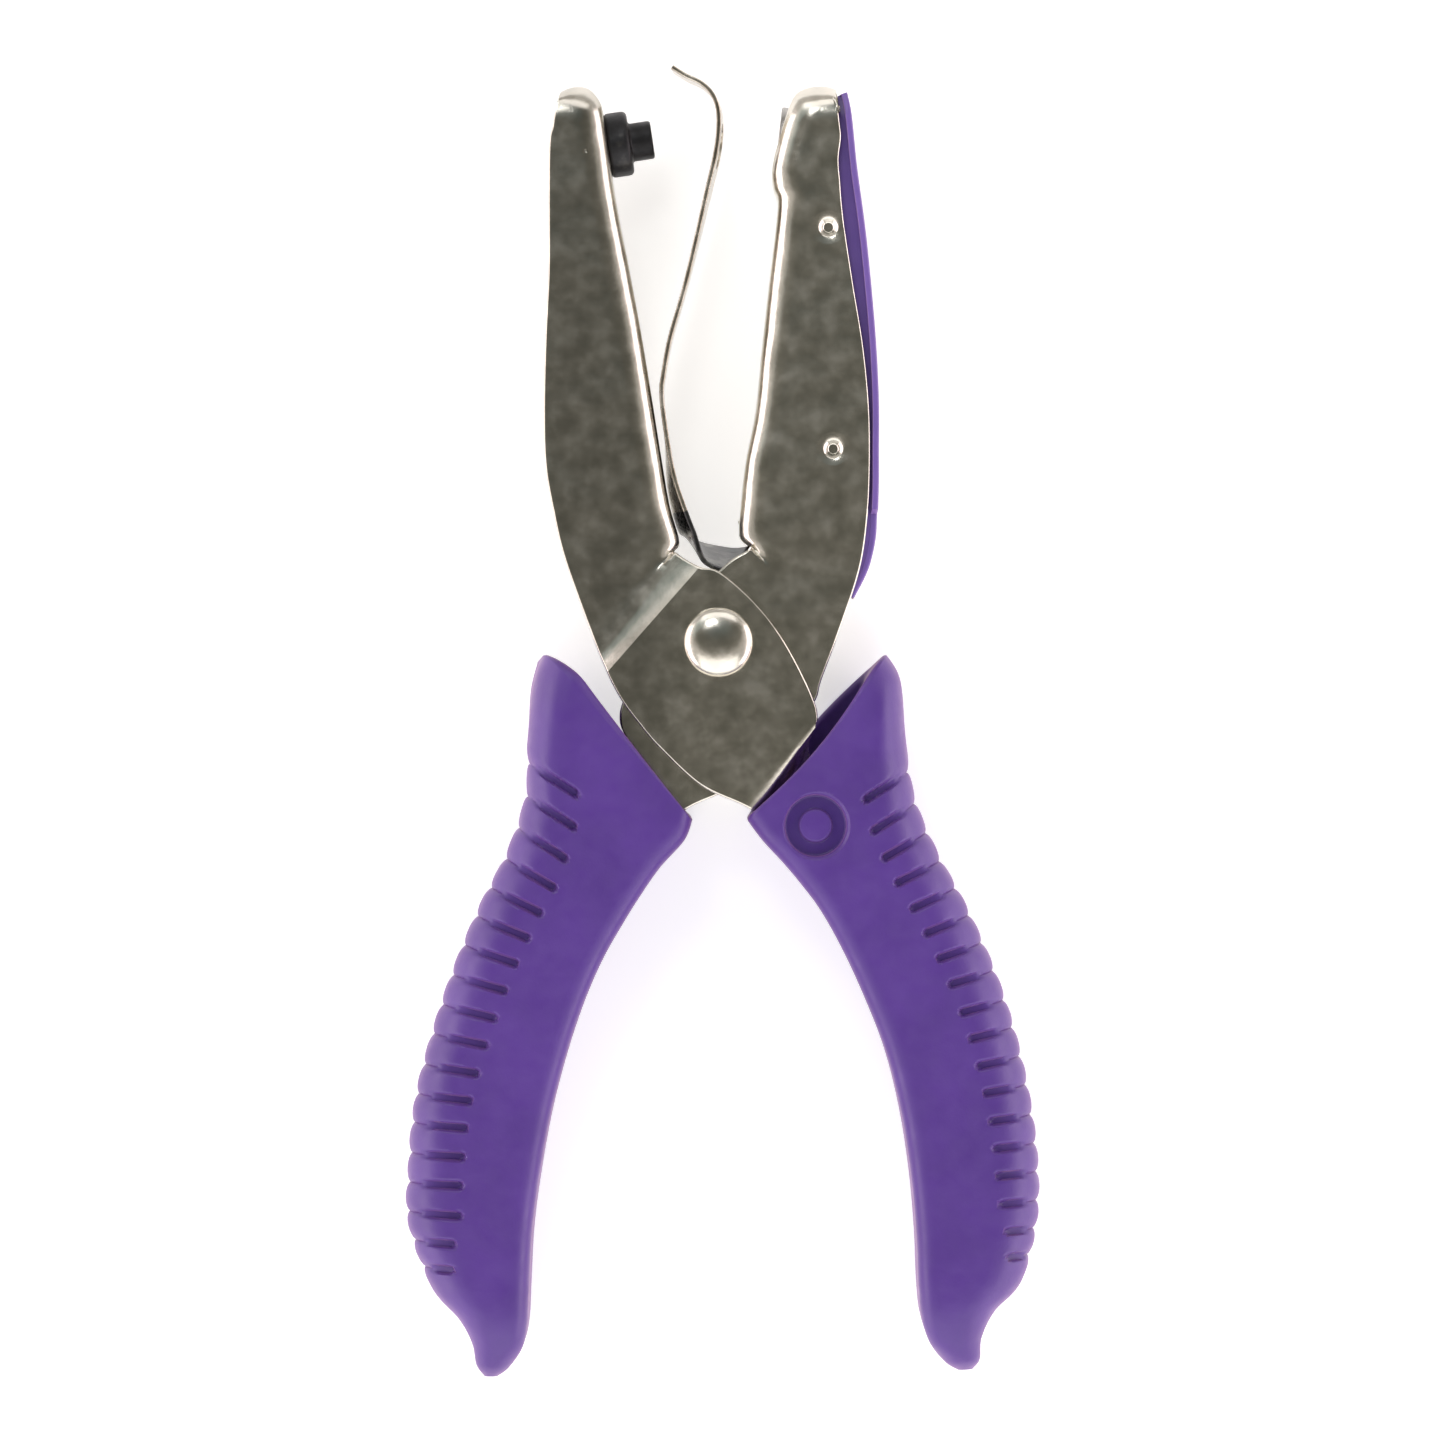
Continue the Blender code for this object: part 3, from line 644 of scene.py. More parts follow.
def dimple_profile():
    """The dent of a dimple: a shallow dish, then a steep cone with a flat bottom."""
    profile = [(0.0, 1.0), (DISH_R, 1.0)]
    for i in range(DISH_STEPS + 1):
        share = i / DISH_STEPS
        profile.append((DISH_R - 1.2 * ease(share) ** 0.8, 0.02 - 0.2 * share**1.6))
    profile += [(1.02, -0.26), (0.72, -0.62), (0.58, -0.7), (0.0, -0.7)]
    return [(radius, HALF_IN + height) for radius, height in profile]


def cap_profile():
    """The raised inner side of a dimple."""
    face = HALF_IN - SHEET
    profile = [(0.0, face + 0.35), (1.9, face + 0.35), (1.7, face), (CAP_R, face - CAP_BASE)]
    for i in range(1, 6):
        turn = i * math.pi / 12
        profile.append((CAP_R * math.cos(turn), face - CAP_BASE - CAP_H * math.sin(turn)))
    profile.append((0.0, face - CAP_BASE - CAP_H))
    return profile


def at_closing(distance):
    """The point at a distance along the punch axis from its seat, when the levers are closed."""
    point = Vector(PUNCH_SEAT) + distance * Vector((math.cos(PUNCH_TILT), math.sin(PUNCH_TILT)))
    return tuple(Matrix.Rotation(-CLOSE_ANGLE, 2) @ point)


def make_die_lever(steel):
    crossing = [(*row, HALF_IN, False) for row in mirrored(CROSSING)]
    handle = [(edge, web, HALF_IN, webbed) for edge, web, webbed in mirrored(HANDLE)]
    lever = make_lever("die_lever_plated", list(DIE_JAW) + crossing + handle, flip=True)
    for side in (1, -1):
        cut(lever, at_dimples(cap_profile(), side), "UNION")
        cut(lever, at_dimples(dimple_profile(), side))
    cut(lever, aim(cylinder(DIE_R + GAP, -3.0, 4.5), at_closing(DIE_FACE), PUNCH_TILT - CLOSE_ANGLE))
    smooth_shading(lever, CREASE_ANGLE)
    finish_piece(lever, "die_side", "plated_steel", steel, "die_lever")


# ---------------------------------------------------------------- turned pieces


def make_rivet(steel):
    end = -RIVET_SEAT - TAIL_H
    corners = (
        (0.0, end, 0.0),
        (0.7, end, 0.3),
        (1.0, end + 0.15, 0.3),
        (TAIL_R - 0.6, end + 0.1, 0.5),
        (TAIL_R, -RIVET_SEAT - 0.5 * TAIL_H, 0.4),
        (TAIL_R, -RIVET_SEAT, 0.0),
        (RIVET_R, -RIVET_SEAT, 0.0),
        (RIVET_R, RIVET_SEAT, 0.0),
        (HEAD_R - 0.1, RIVET_SEAT, 0.0),
    )
    profile = rounded(corners, closed=False)
    steps = 24
    dome = RIVET_SEAT + HEAD_RIM
    for i in range(steps):
        turn = math.pi / 2 * i / steps
        profile.append((HEAD_R * math.cos(turn) ** HEAD_POWER, dome + (HEAD_H - HEAD_RIM) * math.sin(turn)))
    profile.append((0.0, RIVET_SEAT + HEAD_H))
    rivet = add_piece("rivet_domed", turned(profile, 96))
    smooth_shading(rivet)
    finish_piece(rivet, "die_side", "plated_steel", steel, "pivot_rivet")


def make_bush(steel):
    end = HALF_IN - SHEET - GAP
    hole = RIVET_R + GAP
    corners = (
        (BUSH_R, -end, 0.3),
        (BUSH_R, end, 0.3),
        (hole, end, 0.2),
        (hole, -end, 0.2),
    )
    bush = add_piece("bush_ground", turned(rounded(corners, closed=True), 64, closed=True))
    smooth_shading(bush)
    finish_piece(bush, "die_side", "tool_steel", steel, "pivot_bush")


def make_die_button(steel):
    corners = (
        (DIE_R, 0.0, 0.25),
        (DIE_R, DIE_L, 0.2),
        (DIE_HOLE_R + 0.3, DIE_L, 0.15),
        (DIE_HOLE_R, 0.9, 0.0),
        (DIE_HOLE_R, 0.0, 0.06),
    )
    bm = turned(rounded(corners, closed=True), 64, closed=True)
    button = add_piece("die_button_ground", aim(bm, at_closing(DIE_FACE), PUNCH_TILT - CLOSE_ANGLE))
    smooth_shading(button)
    finish_piece(button, "die_side", "tool_steel", steel, "die_button")


def make_punch(black):
    inner = -(SHEET + GAP)
    corners = (
        (0.0, inner - 0.8, 0.0),
        (SHANK_HEAD_R, inner - 0.8, 0.3),
        (SHANK_HEAD_R, inner, 0.1),
        (SHANK_R, inner, 0.0),
        (SHANK_R, COLLAR_SEAT, 0.0),
        (COLLAR_R, COLLAR_SEAT, 0.5),
        (COLLAR_R, COLLAR_L, 1.1),
        (PIN_R, COLLAR_L, 0.35),
        (PIN_R, PIN_END, 0.45),
        (PIN_R - 0.9, PIN_END, 0.2),
        (0.0, PIN_END - 0.6, 0.0),
    )
    bm = turned(rounded(corners, closed=False), 72)
    punch = add_piece("punch_black", aim(bm, PUNCH_SEAT, PUNCH_TILT))
    smooth_shading(punch)
    finish_piece(punch, "punch_side", "black_oxide", black, "punch_pin")


# ---------------------------------------------------------------- spring strip


def strip(points, spacing=0.5):
    """A flat strip on edge along a smooth line: its width stands along Z and its edges are rounded."""
    line = [row[0] for row, _, _ in smooth_rows([(point,) for point in points], spacing)]
    half = STRIP_T / 2
    signs = ((1, 1), (-1, 1), (-1, -1), (1, -1))
    corners = [(half * side, STRIP_HALF * rise, STRIP_EDGE) for side, rise in signs]
    section = rounded(corners, closed=True, steps=3)
    last = len(line) - 1
    rings = []
    for i, point in enumerate(line):
        along = (line[min(i + 1, last)] - line[max(i - 1, 0)]).normalized()
        side = Vector((-along.y, along.x))
        rings.append([(point.x + side.x * u, point.y + side.y * u, z) for u, z in section])
    return loft(rings)


def lean_strip(bm):
    """Leans the leg's rear edge to the punch lever's web, and the blade's slightly the other way."""
    for vertex in bm.verts:
        depth = (STRIP_HALF - vertex.co.z) / (2 * STRIP_HALF)
        leg = LEG_LEAN * ease((LEG_TOP - vertex.co.y) / LEG_RUN)
        leg *= ease((LEG_SIDE - vertex.co.x) / LEG_SIDE_RUN)
        blade = BLADE_LEAN * ease((vertex.co.y - BLADE_LOW) / BLADE_RUN)
        vertex.co.x += (blade - leg) * depth


def make_leaf(steel):
    """The stripper leaf with the upper part of the leg that lies along the punch lever."""
    bm = strip(UPPER_LEG + BLADE)
    lean_strip(bm)
    leaf = add_piece("spring_leaf", bm)
    cut(leaf, aim(cylinder(STRIP_HOLE_R, -3.0, 3.0), STRIP_HOLE, STRIP_HOLE_TURN))
    smooth_shading(leaf, 40)
    finish_piece(leaf, None, "spring_steel", steel, "stripper_blade")
    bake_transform(leaf)


def make_hairpin(steel):
    """The strip's turn at the throat's bottom, with its short legs. Its rear edge leans to the jaws. It is
    coloured with a darker copy of the strip's steel: painted shade of the throat.
    """
    bm = strip(LOWER_LEG + SPRING_TURN + DIE_LEG, 0.3)
    lean_strip(bm)
    for vertex in bm.verts:
        vertex.co.y -= TURN_LEAN * vertex.co.z * ease((TURN_TOP - vertex.co.y) / TURN_RUN)
    hairpin = add_piece("spring_hairpin", bm)
    smooth_shading(hairpin, 40)
    finish_piece(hairpin, None, "spring_steel", steel, "return_spring")
    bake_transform(hairpin)


# ---------------------------------------------------------------- chip catcher


def catcher_section(edge, face, wide):
    """A tray: a plate at the outer face and two side walls that reach into the channel."""
    length = (face - edge).length
    unit = (face - edge) / length
    under = length - CATCHER_PLATE
    narrow = nose(face.y)
    wall = CATCHER_WALL_HALF * narrow
    plate = CATCHER_HALF * narrow if wide else wall + CATCHER_STEP
    inner = wall - CATCHER_WALL
    front = [(length, plate, 0.45), (under, plate, 0.2), (under, wall, 0.0)]
    front += [(0.0, wall, 0.3), (0.0, inner, 0.3), (under, inner, 0.5)]
    rear = [(u, -z, radius) for u, z, radius in reversed(front)]
    ring = rounded(front + rear, closed=True)
    return [(edge.x + unit.x * u, edge.y + unit.y * u, z) for u, z in ring]


def make_catcher(plastic):
    rings = []
    for (edge, face), _, _ in smooth_rows(CATCHER, 0.8):
        rings.append(catcher_section(edge, face, face.y > CATCHER_WIDE_TO))
    catcher = add_piece("catcher_tray", loft(rings))
    reach = CATCHER_WALL_HALF + 1.0
    for dimple in DIMPLES:
        cut(catcher, cylinder(NOTCH_R, -reach, reach, dimple, 48))
    smooth_shading(catcher, 40)
    finish_piece(catcher, "catcher", "purple_catcher", plastic, "chip_catcher")


# ---------------------------------------------------------------- grips


def ring_points(length, half, inner_r, outer_r):
    """(across, height, normal across, normal up) round a rounded rectangle from its inner edge.

    Each corner has its centre, its radius, the angle it starts at, its steps, and the spans of the
    straight side after it.
    """
    inner_r = min(inner_r, 0.45 * length, 0.9 * half)
    outer_r = min(outer_r, 0.45 * length, 0.9 * half)
    corners = (
        (inner_r, half - inner_r, inner_r, math.pi, 8, 34),
        (length - outer_r, half - outer_r, outer_r, math.pi / 2, 16, 8),
        (length - outer_r, outer_r - half, outer_r, 0.0, 14, 12),
        (inner_r, inner_r - half, inner_r, -math.pi / 2, 8, 6),
    )
    ring = []
    for k, (u, z, radius, start, steps, spans) in enumerate(corners):
        for i in range(steps + 1):
            angle = start - math.pi / 2 * i / steps
            normal = (math.cos(angle), math.sin(angle))
            ring.append((u + radius * normal[0], z + radius * normal[1], *normal))
        u_next, z_next, radius_next, start_next = corners[(k + 1) % 4][:4]
        u_end = u_next + radius_next * math.cos(start_next)
        z_end = z_next + radius_next * math.sin(start_next)
        u_last, z_last, *normal = ring[-1]
        for i in range(1, spans):
            share = i / spans
            ring.append((u_last + (u_end - u_last) * share, z_last + (z_end - z_last) * share, *normal))
    return ring


def groove_lines(rows, layout):
    """Each groove as (inner end, direction outwards, reach), spaced along the outer edge."""
    lines = []
    travelled = 0.0
    index = 0
    for (inner, outer), (_, outer_next) in zip(rows, rows[1:]):
        place = layout["start"] + layout["pitch"] * index - layout["shrink"] * index**2
        travelled += (outer_next - outer).length
        if travelled < place:
            continue
        base, change = layout["reach"]
        last, step = layout["last"]
        reach = min(base + change * index, last + step * (GROOVES - 1 - index))
        across = (outer - inner).normalized()
        side = 1 if across.x > 0 else -1
        slope = min(math.atan2(across.y, abs(across.x)), GROOVE_TILT)
        direction = Vector((side * math.cos(slope), math.sin(slope)))
        lines.append((outer - direction * reach, direction, reach))
        index += 1
        if index == GROOVES:
            break
    return lines


def groove_depth(point, rise, lines, active):
    """How far a groove or the gap between two ribs sinks the surface; rise is the normal's height."""
    nearest = min(lines, key=lambda line: abs(cross(point - line[0], line[1])))
    end, direction, reach = nearest
    out = (point - end).dot(direction)
    off = abs(cross(point - end, direction))
    distance = math.hypot(min(out, 0.0), off)
    slot = 1 - ease((distance - GROOVE_HALF) / GROOVE_EASE)
    fallen = GROOVE_FALL * (1 - abs(rise)) * ease(out / GROOVE_RUN) if out > 0 else 0.0
    depth = max(GROOVE_DEPTH - fallen, 0.0) * slot
    side = ease((out / reach - RIB_FROM) / RIB_RUN) * active
    phase = 1 - min(off / RIB_HALF, 1.0)
    rib = RIB_DEPTH * (1 - math.sqrt(1 - phase * phase * RIB_ROUND)) * side
    return max(depth, rib)


def cross(a, b):
    return a.x * b.y - a.y * b.x


def to_tail(across):
    """The direction at right angles to a grip's width, away from its mouth."""
    return Vector((across.y, -across.x)) * (1 if across.x > 0 else -1)


def right_slant(share):
    """The right mouth's front edge is sunk in its middle, between the inner and the outer corner."""
    return RIGHT_SLANT * math.sin(math.pi * share)


def left_slant(share):
    """The left mouth's front edge stands out more towards its outer corner."""
    return -LEFT_SLANT * share


def grip_rings(stations, spacing, inner_r, outer_r, slant, layout=None):
    """Rings along a grip from its mouth. Only the first ones slant from front to rear."""
    rows = smooth_rows([row[:2] for row in stations], spacing)
    lines = groove_lines([row for row, _, _ in rows], layout) if layout else []
    rings = []
    halves = [station[2] for station in stations]
    for (inner, outer), i, t in rows:
        around = (halves[max(i - 1, 0)], halves[i], halves[i + 1], halves[min(i + 2, len(halves) - 1)])
        half = min(catmull_rom(*around, t), GRIP_HALF)
        across = outer - inner
        length = across.length
        unit = across / length
        along = to_tail(unit)
        fade = max(0.0, 1 - (i + t) / 2)
        active = 0.0
        if lines:
            past_first = (outer - lines[0][0]).dot(to_tail(lines[0][1]))
            past_last = (outer - lines[-1][0]).dot(to_tail(lines[-1][1]))
            active = ease((past_first + RIBS_PAST) / RIBS_FADE) * ease((RIBS_PAST - past_last) / RIBS_FADE)
        ring = []
        for u, z, nu, nz in ring_points(length, half, inner_r, outer_r):
            point = inner + unit * u
            if lines:
                crowned = CROWN * (2 * u / length - 1) ** 2 * abs(nz)
                depth = crowned + (groove_depth(point, nz, lines, active) if nu > -0.01 else 0.0)
                point = point - unit * nu * depth
                z -= nz * depth
            point = point + along * (slant(u / length) * fade * z / GRIP_HALF)
            ring.append(Vector((point.x, point.y, z)))
        rings.append(ring)
    return rings


def grip_hollow():
    """The hollow of the right grip: its mouth, then the handle with a gap all round."""
    rows = list(MOUTH_HOLLOW)
    for edge, web, _ in HANDLE[1:]:
        edge = Vector(edge)
        web = Vector(web)
        spare = (web - edge).normalized() * HOLLOW_GAP
        rows.append((tuple(edge - spare), tuple(web + spare), HALF_IN + HOLLOW_GAP))
    edge, web, half = rows[-1]
    rows.append(((edge[0], edge[1] - 1.0), (web[0], web[1] - 1.0), half))
    return rows


def mouth_lip(outer_ring, inner_ring, back):
    """Rings that round the mouth's rim from the outside to the hollow; back points into the grip."""
    rings = []
    for i in range(1, LIP_STEPS):
        turn = math.pi * i / LIP_STEPS
        share = (1 - math.cos(turn)) / 2
        lift = back * (LIP * (1 - math.sin(turn)))
        rings.append([a.lerp(b, share) + lift for a, b in zip(outer_ring, inner_ring)])
    return rings


def make_grip(name, stations, hollow, slant, layout):
    """A sleeve: the outer rings run from the tail to the mouth, round the lip and back inside."""
    outside = grip_rings(stations, GRIP_SPACING, INNER_R, OUTER_R, slant, layout)
    inside = grip_rings(hollow, HOLLOW_SPACING, HOLLOW_R, HOLLOW_R, slant)
    mouth = outside[0]
    back = (sum(outside[3], Vector()) - sum(mouth, Vector())).normalized()
    lip = mouth_lip(mouth, inside[0], back)
    shifted = [[point + back * LIP for point in ring] for ring in (mouth, inside[0])]
    keep = math.ceil(LIP / GRIP_SPACING) + 1
    rings = list(reversed(outside[keep:])) + [shifted[0]] + lip + [shifted[1]] + inside[1:]
    return add_piece(name, loft(rings))


def badge_tool():
    """A round recess with a plain raised disc in its middle."""
    corners = (
        (0.0, BADGE_DISC, 0.0),
        (1.95, BADGE_DISC, 0.2),
        (2.15, BADGE_FLOOR, 0.12),
        (3.75, BADGE_FLOOR, 0.2),
        (3.9, BADGE_RIM, 0.25),
        (BADGE_R + 0.1, GRIP_HALF, 0.2),
        (BADGE_R + 0.2, BADGE_TOP, 0.0),
        (0.0, BADGE_TOP, 0.0),
    )
    bm = turned(rounded(corners, closed=False), 96)
    bmesh.ops.translate(bm, verts=bm.verts, vec=(*BADGE, 0.0))
    return bm


def in_badge(obj, polygon):
    """Whether a face lies at the bottom of the round recess, where the painted shade goes."""
    center = (obj.matrix_world @ polygon.center - PIVOT) / MM
    return abs(center.z - BADGE_FLOOR) < BADGE_DEPTH and (center.xy - Vector(BADGE)).length < BADGE_R


def make_grips(vinyl, recess):
    right = make_grip("grip_right_ribbed", RIGHT_GRIP, grip_hollow(), right_slant, RIGHT_GROOVES)
    cut(right, badge_tool())
    left = make_grip("grip_left_ribbed", LEFT_GRIP, mirrored(grip_hollow()), left_slant, LEFT_GROOVES)
    for grip in (right, left):
        smooth_shading(grip, 50)
    finish_piece(right, "punch_side", "purple_grip", vinyl, "right_grip")
    # the recess's floor gets a darker copy of the vinyl: painted shade in the hollow
    right.data.materials.append(recess)
    for polygon in right.data.polygons:
        if in_badge(right, polygon):
            polygon.material_index = 1
    finish_piece(left, "die_side", "purple_grip", vinyl, "left_grip")


# ---------------------------------------------------------------- materials


# The plated steel's painted shade across the tool: its right and left limits in metres and the low share it
# darkens to; and the plastic's sheen.
PAINTED_SHADE_LEFT = -0.011
PAINTED_SHADE_RIGHT = -0.004
PAINTED_SHADE_LOW = 0.8
SHEEN = 0.3
PINK = (1.0, 0.55, 0.7)


def new_material(name, roughness, metallic):
    """A material's tree and shader, with the object's own coordinates to draw patterns on."""
    material = bpy.data.materials.new(name)
    material.use_nodes = True
    tree = material.node_tree
    shader = tree.nodes["Principled BSDF"]
    shader.inputs["Roughness"].default_value = roughness
    shader.inputs["Metallic"].default_value = metallic
    place = tree.nodes.new("ShaderNodeTexCoord").outputs["Object"]
    return material, tree, shader, place


def noise(tree, place, scale, detail, stretch=(1.0, 1.0, 1.0)):
    """Fractal noise. The scale is in waves a metre, and the stretch slows it along each axis."""
    mapping = tree.nodes.new("ShaderNodeMapping")
    mapping.inputs["Scale"].default_value = [scale / s for s in stretch]
    tree.links.new(place, mapping.inputs["Vector"])
    node = tree.nodes.new("ShaderNodeTexNoise")
    node.inputs["Scale"].default_value = 1.0
    node.inputs["Detail"].default_value = detail
    tree.links.new(mapping.outputs["Vector"], node.inputs["Vector"])
    return node.outputs["Fac"]


def between(tree, factor, low, high, low_to, high_to):
    """Maps a factor's range onto another one, and holds it inside."""
    node = tree.nodes.new("ShaderNodeMapRange")
    for name, value in (("From Min", low), ("From Max", high), ("To Min", low_to), ("To Max", high_to)):
        node.inputs[name].default_value = value
    tree.links.new(factor, node.inputs["Value"])
    return node.outputs["Result"]


def tint(tree, factor, stops):
    """A colour ramp of (position, colour) stops."""
    node = tree.nodes.new("ShaderNodeValToRGB")
    elements = node.color_ramp.elements
    for i, (position, color) in enumerate(stops):
        element = elements[i] if i < 2 else elements.new(position)
        element.position = position
        element.color = (*color, 1.0)
    tree.links.new(factor, node.inputs["Fac"])
    return node.outputs["Color"]


def relief(tree, shader, layers):
    """Bump from (height factor, depth in metres) layers, laid one over another."""
    normal = None
    for factor, depth in layers:
        node = tree.nodes.new("ShaderNodeBump")
        node.inputs["Distance"].default_value = depth
        tree.links.new(factor, node.inputs["Height"])
        if normal:
            tree.links.new(normal, node.inputs["Normal"])
        normal = node.outputs["Normal"]
    tree.links.new(normal, shader.inputs["Normal"])


def dress(tree, shader, color, roughness):
    """Links a colour and a roughness that vary over the piece."""
    tree.links.new(color, shader.inputs["Base Color"])
    tree.links.new(roughness, shader.inputs["Roughness"])


def plated_steel():
    """Bright nickel over pressed sheet, with soft waves, small smudges and a fine peel.

    A painted shade darkens it to the low share of itself, from the right limit to the left one, across the
    punch lever's jaw.
    """
    material, tree, shader, place = new_material("nickel_plate", 0.2, 1.0)
    waves = noise(tree, place, 45.0, 2.0)
    smudges = noise(tree, place, 380.0, 9.0)
    peel = noise(tree, place, 1600.0, 3.0)
    stops = ((0.3, (0.57, 0.55, 0.49)), (0.5, (0.65, 0.62, 0.55)), (0.7, (0.74, 0.71, 0.64)))
    axes = tree.nodes.new("ShaderNodeSeparateXYZ")
    tree.links.new(place, axes.inputs["Vector"])
    shaded_color = tree.nodes.new("ShaderNodeVectorMath")
    shaded_color.operation = "SCALE"
    tree.links.new(tint(tree, smudges, stops), shaded_color.inputs[0])
    # painted shade: the steel's colour darkens towards the left, across the punch lever's jaw
    painted_shade = between(tree, axes.outputs["X"], PAINTED_SHADE_LEFT, PAINTED_SHADE_RIGHT, PAINTED_SHADE_LOW, 1.0)
    tree.links.new(painted_shade, shaded_color.inputs["Scale"])
    dress(tree, shader, shaded_color.outputs["Vector"], between(tree, smudges, 0.3, 0.7, 0.17, 0.26))
    relief(tree, shader, ((waves, 0.0007), (smudges, 0.00004), (peel, 0.000008)))
    return material


def ground_steel():
    """Hard tool steel with the fine marks of a lathe or a grinder."""
    material, tree, shader, place = new_material("ground_steel", 0.3, 1.0)
    marks = noise(tree, place, 4000.0, 2.0, stretch=(1.0, 1.0, 12.0))
    stain = noise(tree, place, 500.0, 4.0)
    color = tint(tree, stain, ((0.3, (0.24, 0.23, 0.22)), (0.7, (0.42, 0.41, 0.39))))
    dress(tree, shader, color, between(tree, stain, 0.3, 0.7, 0.24, 0.42))
    relief(tree, shader, ((marks, 0.00002),))
    return material


def black_oxide():
    """Blackened steel: nearly black, satin, with a dry grain and paler rubbed patches."""
    material, tree, shader, place = new_material("black_oxide", 0.42, 0.6)
    grain = noise(tree, place, 3500.0, 3.0)
    rubbed = noise(tree, place, 450.0, 4.0)
    stops = ((0.35, (0.010, 0.010, 0.011)), (0.6, (0.020, 0.020, 0.022)), (0.8, (0.06, 0.058, 0.055)))
    dress(tree, shader, tint(tree, rubbed, stops), between(tree, rubbed, 0.3, 0.75, 0.52, 0.34))
    relief(tree, shader, ((rubbed, 0.00008), (grain, 0.00002)))
    return material


def spring_steel(name, low, middle, high):
    """Rolled spring strip, with the lines of the rolls along it."""
    material, tree, shader, place = new_material(name, 0.2, 1.0)
    lines = noise(tree, place, 2600.0, 2.0, stretch=(8.0, 8.0, 0.5))
    stain = noise(tree, place, 320.0, 4.0)
    color = tint(tree, stain, ((0.3, low), (0.55, middle), (0.75, high)))
    dress(tree, shader, color, between(tree, stain, 0.3, 0.7, 0.15, 0.32))
    relief(tree, shader, ((stain, 0.00012), (lines, 0.000012)))
    return material


def purple_plastic(name, low, high, roughness, grain_depth):
    """Moulded plastic: an even colour with faint clouding, a fine grain, dull patches and a pink sheen."""
    material, tree, shader, place = new_material(name, roughness, 0.0)
    cloud = noise(tree, place, 130.0, 4.0)
    grain = noise(tree, place, 3200.0, 3.0)
    handled = noise(tree, place, 420.0, 5.0)
    color = tint(tree, cloud, ((0.3, low), (0.7, high)))
    dress(tree, shader, color, between(tree, handled, 0.3, 0.7, roughness - 0.06, roughness + 0.08))
    relief(tree, shader, ((handled, 0.00006), (grain, grain_depth)))
    shader.inputs["Sheen Weight"].default_value = SHEEN
    shader.inputs["Sheen Tint"].default_value = (*PINK, 1.0)
    return material


# ---------------------------------------------------------------- studio


VIEW_CENTER = (0.0005, 0.0004)
VIEW_WIDTH = 0.1806
VIEW_PLANE = 0.012
LENS = 200.0
SENSOR = 36.0
WORLD_LEAN = (0.0, 0.42, 0.907)
FLOOR_SIZE = 2.5
FLOOR_GLOW = 0.5

# Lights: name, azimuth, elevation, distance, size, watts, colour.
SOFTBOXES = (
    ("front", -90, 42, 1.1, (1.5, 1.1), 6.5, (1.0, 0.97, 0.97)),
    ("glint", 108, 58, 1.1, (0.22, 0.22), 1.1, (1.0, 1.0, 1.0)),
    ("sky", 135, 40, 1.3, (0.9, 0.6), 0.45, (0.75, 0.95, 1.0)),
    ("top", 90, 37, 0.8, (0.9, 0.32), 1.4, (1.0, 0.97, 0.97)),
    ("left", 185, 18, 0.8, (1.2, 0.42), 4.6, (1.0, 0.86, 0.88)),
    ("right", -5, 18, 0.8, (1.2, 0.42), 4.6, (1.0, 0.86, 0.88)),
)


def make_camera():
    """A long lens straight above, which takes in VIEW_WIDTH metres at the height VIEW_PLANE."""
    camera = bpy.data.objects.new("camera", bpy.data.cameras.new("camera"))
    camera.data.lens = LENS
    camera.data.sensor_width = SENSOR
    camera.location = (*VIEW_CENTER, VIEW_PLANE + VIEW_WIDTH * LENS / SENSOR)
    bpy.context.scene.collection.objects.link(camera)
    bpy.context.scene.camera = camera


def make_floor():
    bm = bmesh.new()
    bmesh.ops.create_grid(bm, x_segments=8, y_segments=8, size=FLOOR_SIZE)
    mesh = bpy.data.meshes.new("floor")
    bm.to_mesh(mesh)
    bm.free()
    floor = bpy.data.objects.new("floor", mesh)
    floor.location = (0.0, 0.0, FLOOR_Z)
    bpy.context.scene.collection.objects.link(floor)
    material, _, shader, _ = new_material("pale_floor", 0.7, 0.0)
    shader.inputs["Base Color"].default_value = (0.86, 0.86, 0.86, 1.0)
    shader.inputs["Emission Color"].default_value = (1.0, 1.0, 1.0, 1.0)
    shader.inputs["Emission Strength"].default_value = FLOOR_GLOW
    mesh.materials.append(material)


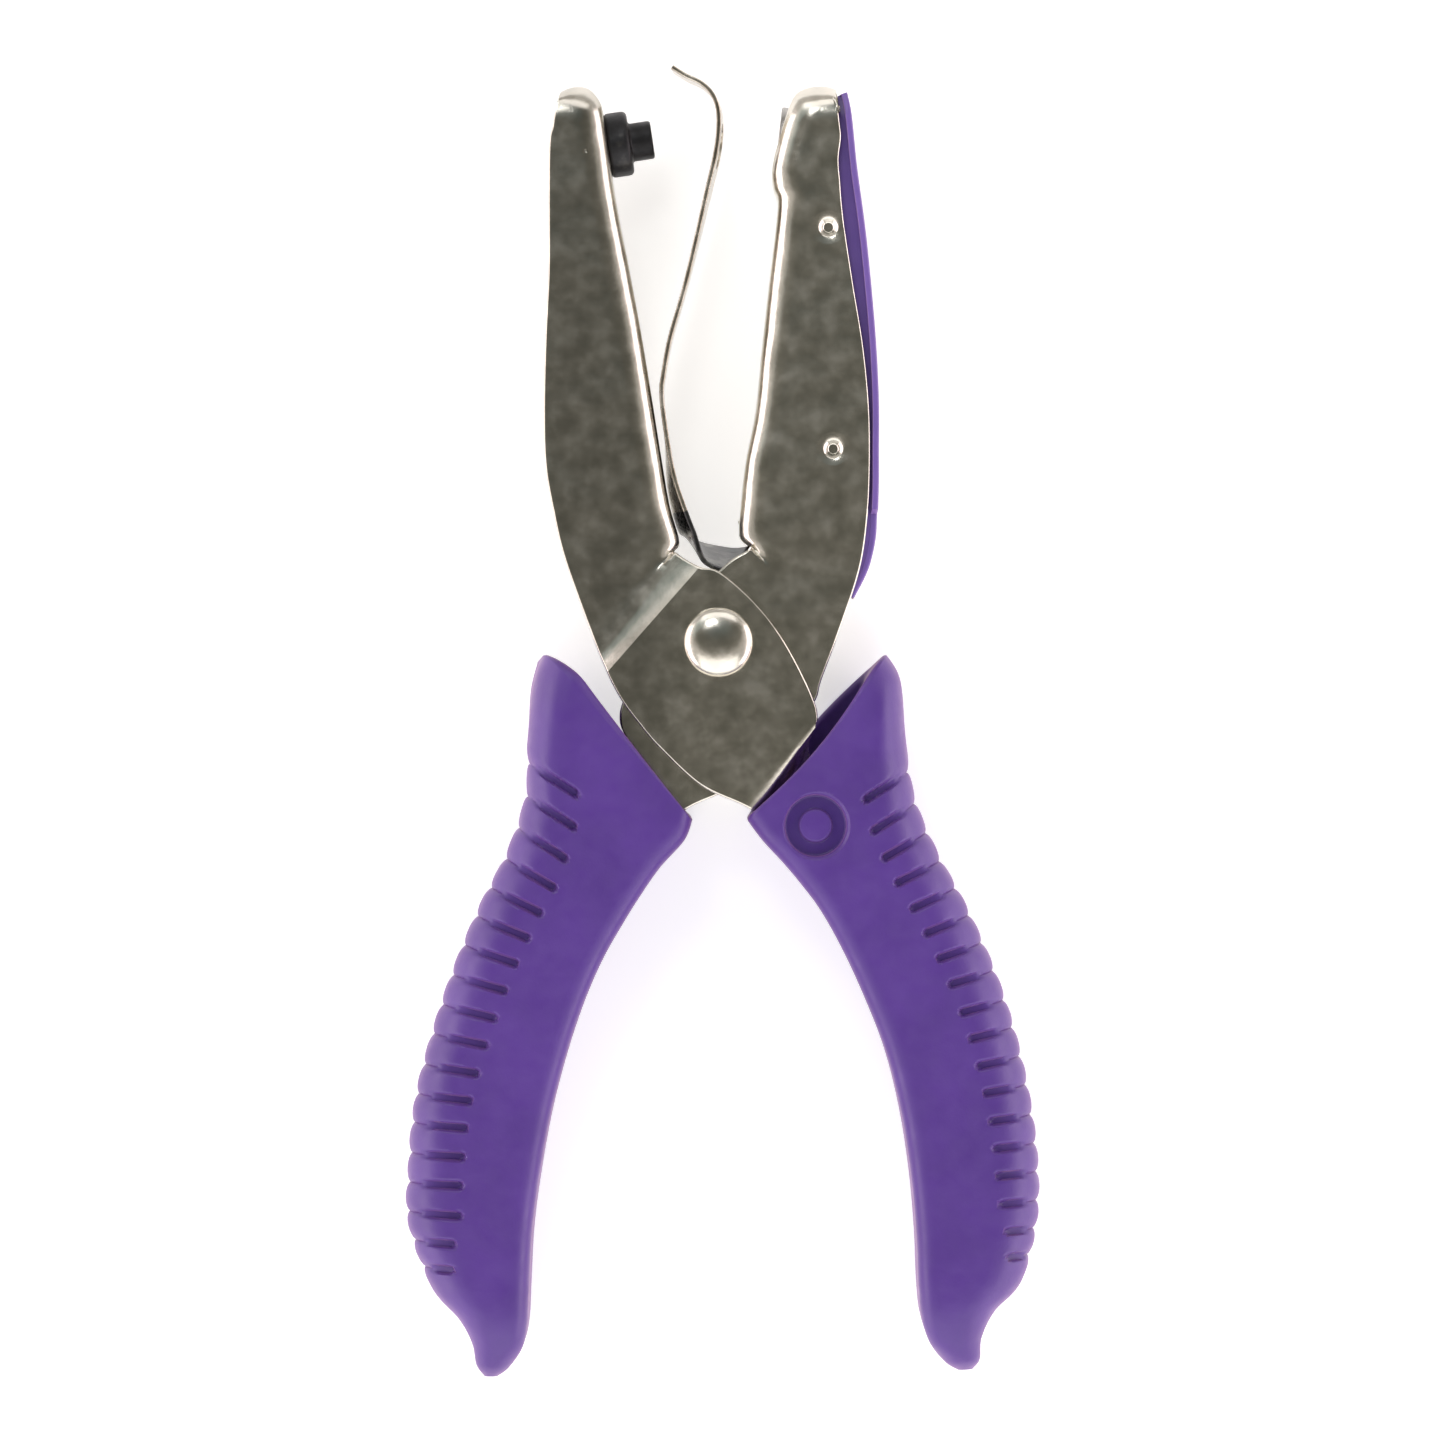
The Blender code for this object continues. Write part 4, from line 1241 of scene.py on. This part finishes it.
def make_softbox(name, azimuth, elevation, distance, size, watts, color):
    """A rectangular light that faces the object from a direction in degrees."""
    light = bpy.data.lights.new(name, "AREA")
    light.shape = "RECTANGLE"
    light.size, light.size_y = size
    light.energy = watts
    light.color = color
    box = bpy.data.objects.new(name, light)
    turn = math.radians(azimuth)
    rise = math.radians(elevation)
    flat = math.cos(rise)
    place = Vector((math.cos(turn) * flat, math.sin(turn) * flat, math.sin(rise))) * distance
    box.location = place
    box.rotation_euler = place.to_track_quat("Z", "Y").to_euler()
    bpy.context.scene.collection.objects.link(box)


def make_world():
    """A dark ceiling, leant towards the jaws' side, with light walls all round it."""
    world = bpy.data.worlds.new("studio")
    bpy.context.scene.world = world
    world.use_nodes = True
    tree = world.node_tree
    place = tree.nodes.new("ShaderNodeTexCoord").outputs["Generated"]
    lean = tree.nodes.new("ShaderNodeVectorMath")
    lean.operation = "DOT_PRODUCT"
    lean.inputs[1].default_value = WORLD_LEAN
    tree.links.new(place, lean.inputs[0])
    stops = (
        (0.0, (0.80, 0.79, 0.77)),
        (0.42, (0.66, 0.63, 0.60)),
        (0.73, (0.55, 0.52, 0.48)),
        (0.785, (0.17, 0.165, 0.14)),
        (0.93, (0.125, 0.120, 0.100)),
        (1.0, (0.16, 0.19, 0.19)),
    )
    color = tint(tree, lean.outputs["Value"], stops)
    tree.links.new(color, tree.nodes["Background"].inputs["Color"])


def main():
    bpy.context.scene.view_settings.view_transform = "Standard"
    make_camera()
    make_floor()
    make_world()
    for softbox in SOFTBOXES:
        make_softbox(*softbox)

    steel = plated_steel()
    ground = ground_steel()
    bright = spring_steel("bright_strip", (0.42, 0.37, 0.30), (0.60, 0.55, 0.47), (0.74, 0.70, 0.63))
    # a darker copy of the strip's steel for the spring's turn: painted shade at the throat's bottom
    shaded_strip = spring_steel("strip_painted_shade", (0.05, 0.055, 0.06), (0.12, 0.12, 0.125), (0.30, 0.30, 0.29))
    make_punch_lever(steel)
    make_die_lever(steel)
    make_rivet(steel)
    make_bush(ground)
    make_die_button(ground)
    make_punch(black_oxide())
    make_leaf(bright)
    make_hairpin(shaded_strip)
    lid = purple_plastic("catcher_plastic", (0.135, 0.085, 0.33), (0.17, 0.10, 0.38), 0.36, 0.000006)
    make_catcher(lid)
    vinyl = purple_plastic("grip_vinyl", (0.064, 0.024, 0.215), (0.080, 0.031, 0.255), 0.42, 0.00001)
    # a darker copy of the grip vinyl: painted shade for the recess's floor
    recess = purple_plastic("recess_painted_shade", (0.046, 0.018, 0.165), (0.056, 0.021, 0.190), 0.34, 0.000006)
    make_grips(vinyl, recess)


main()
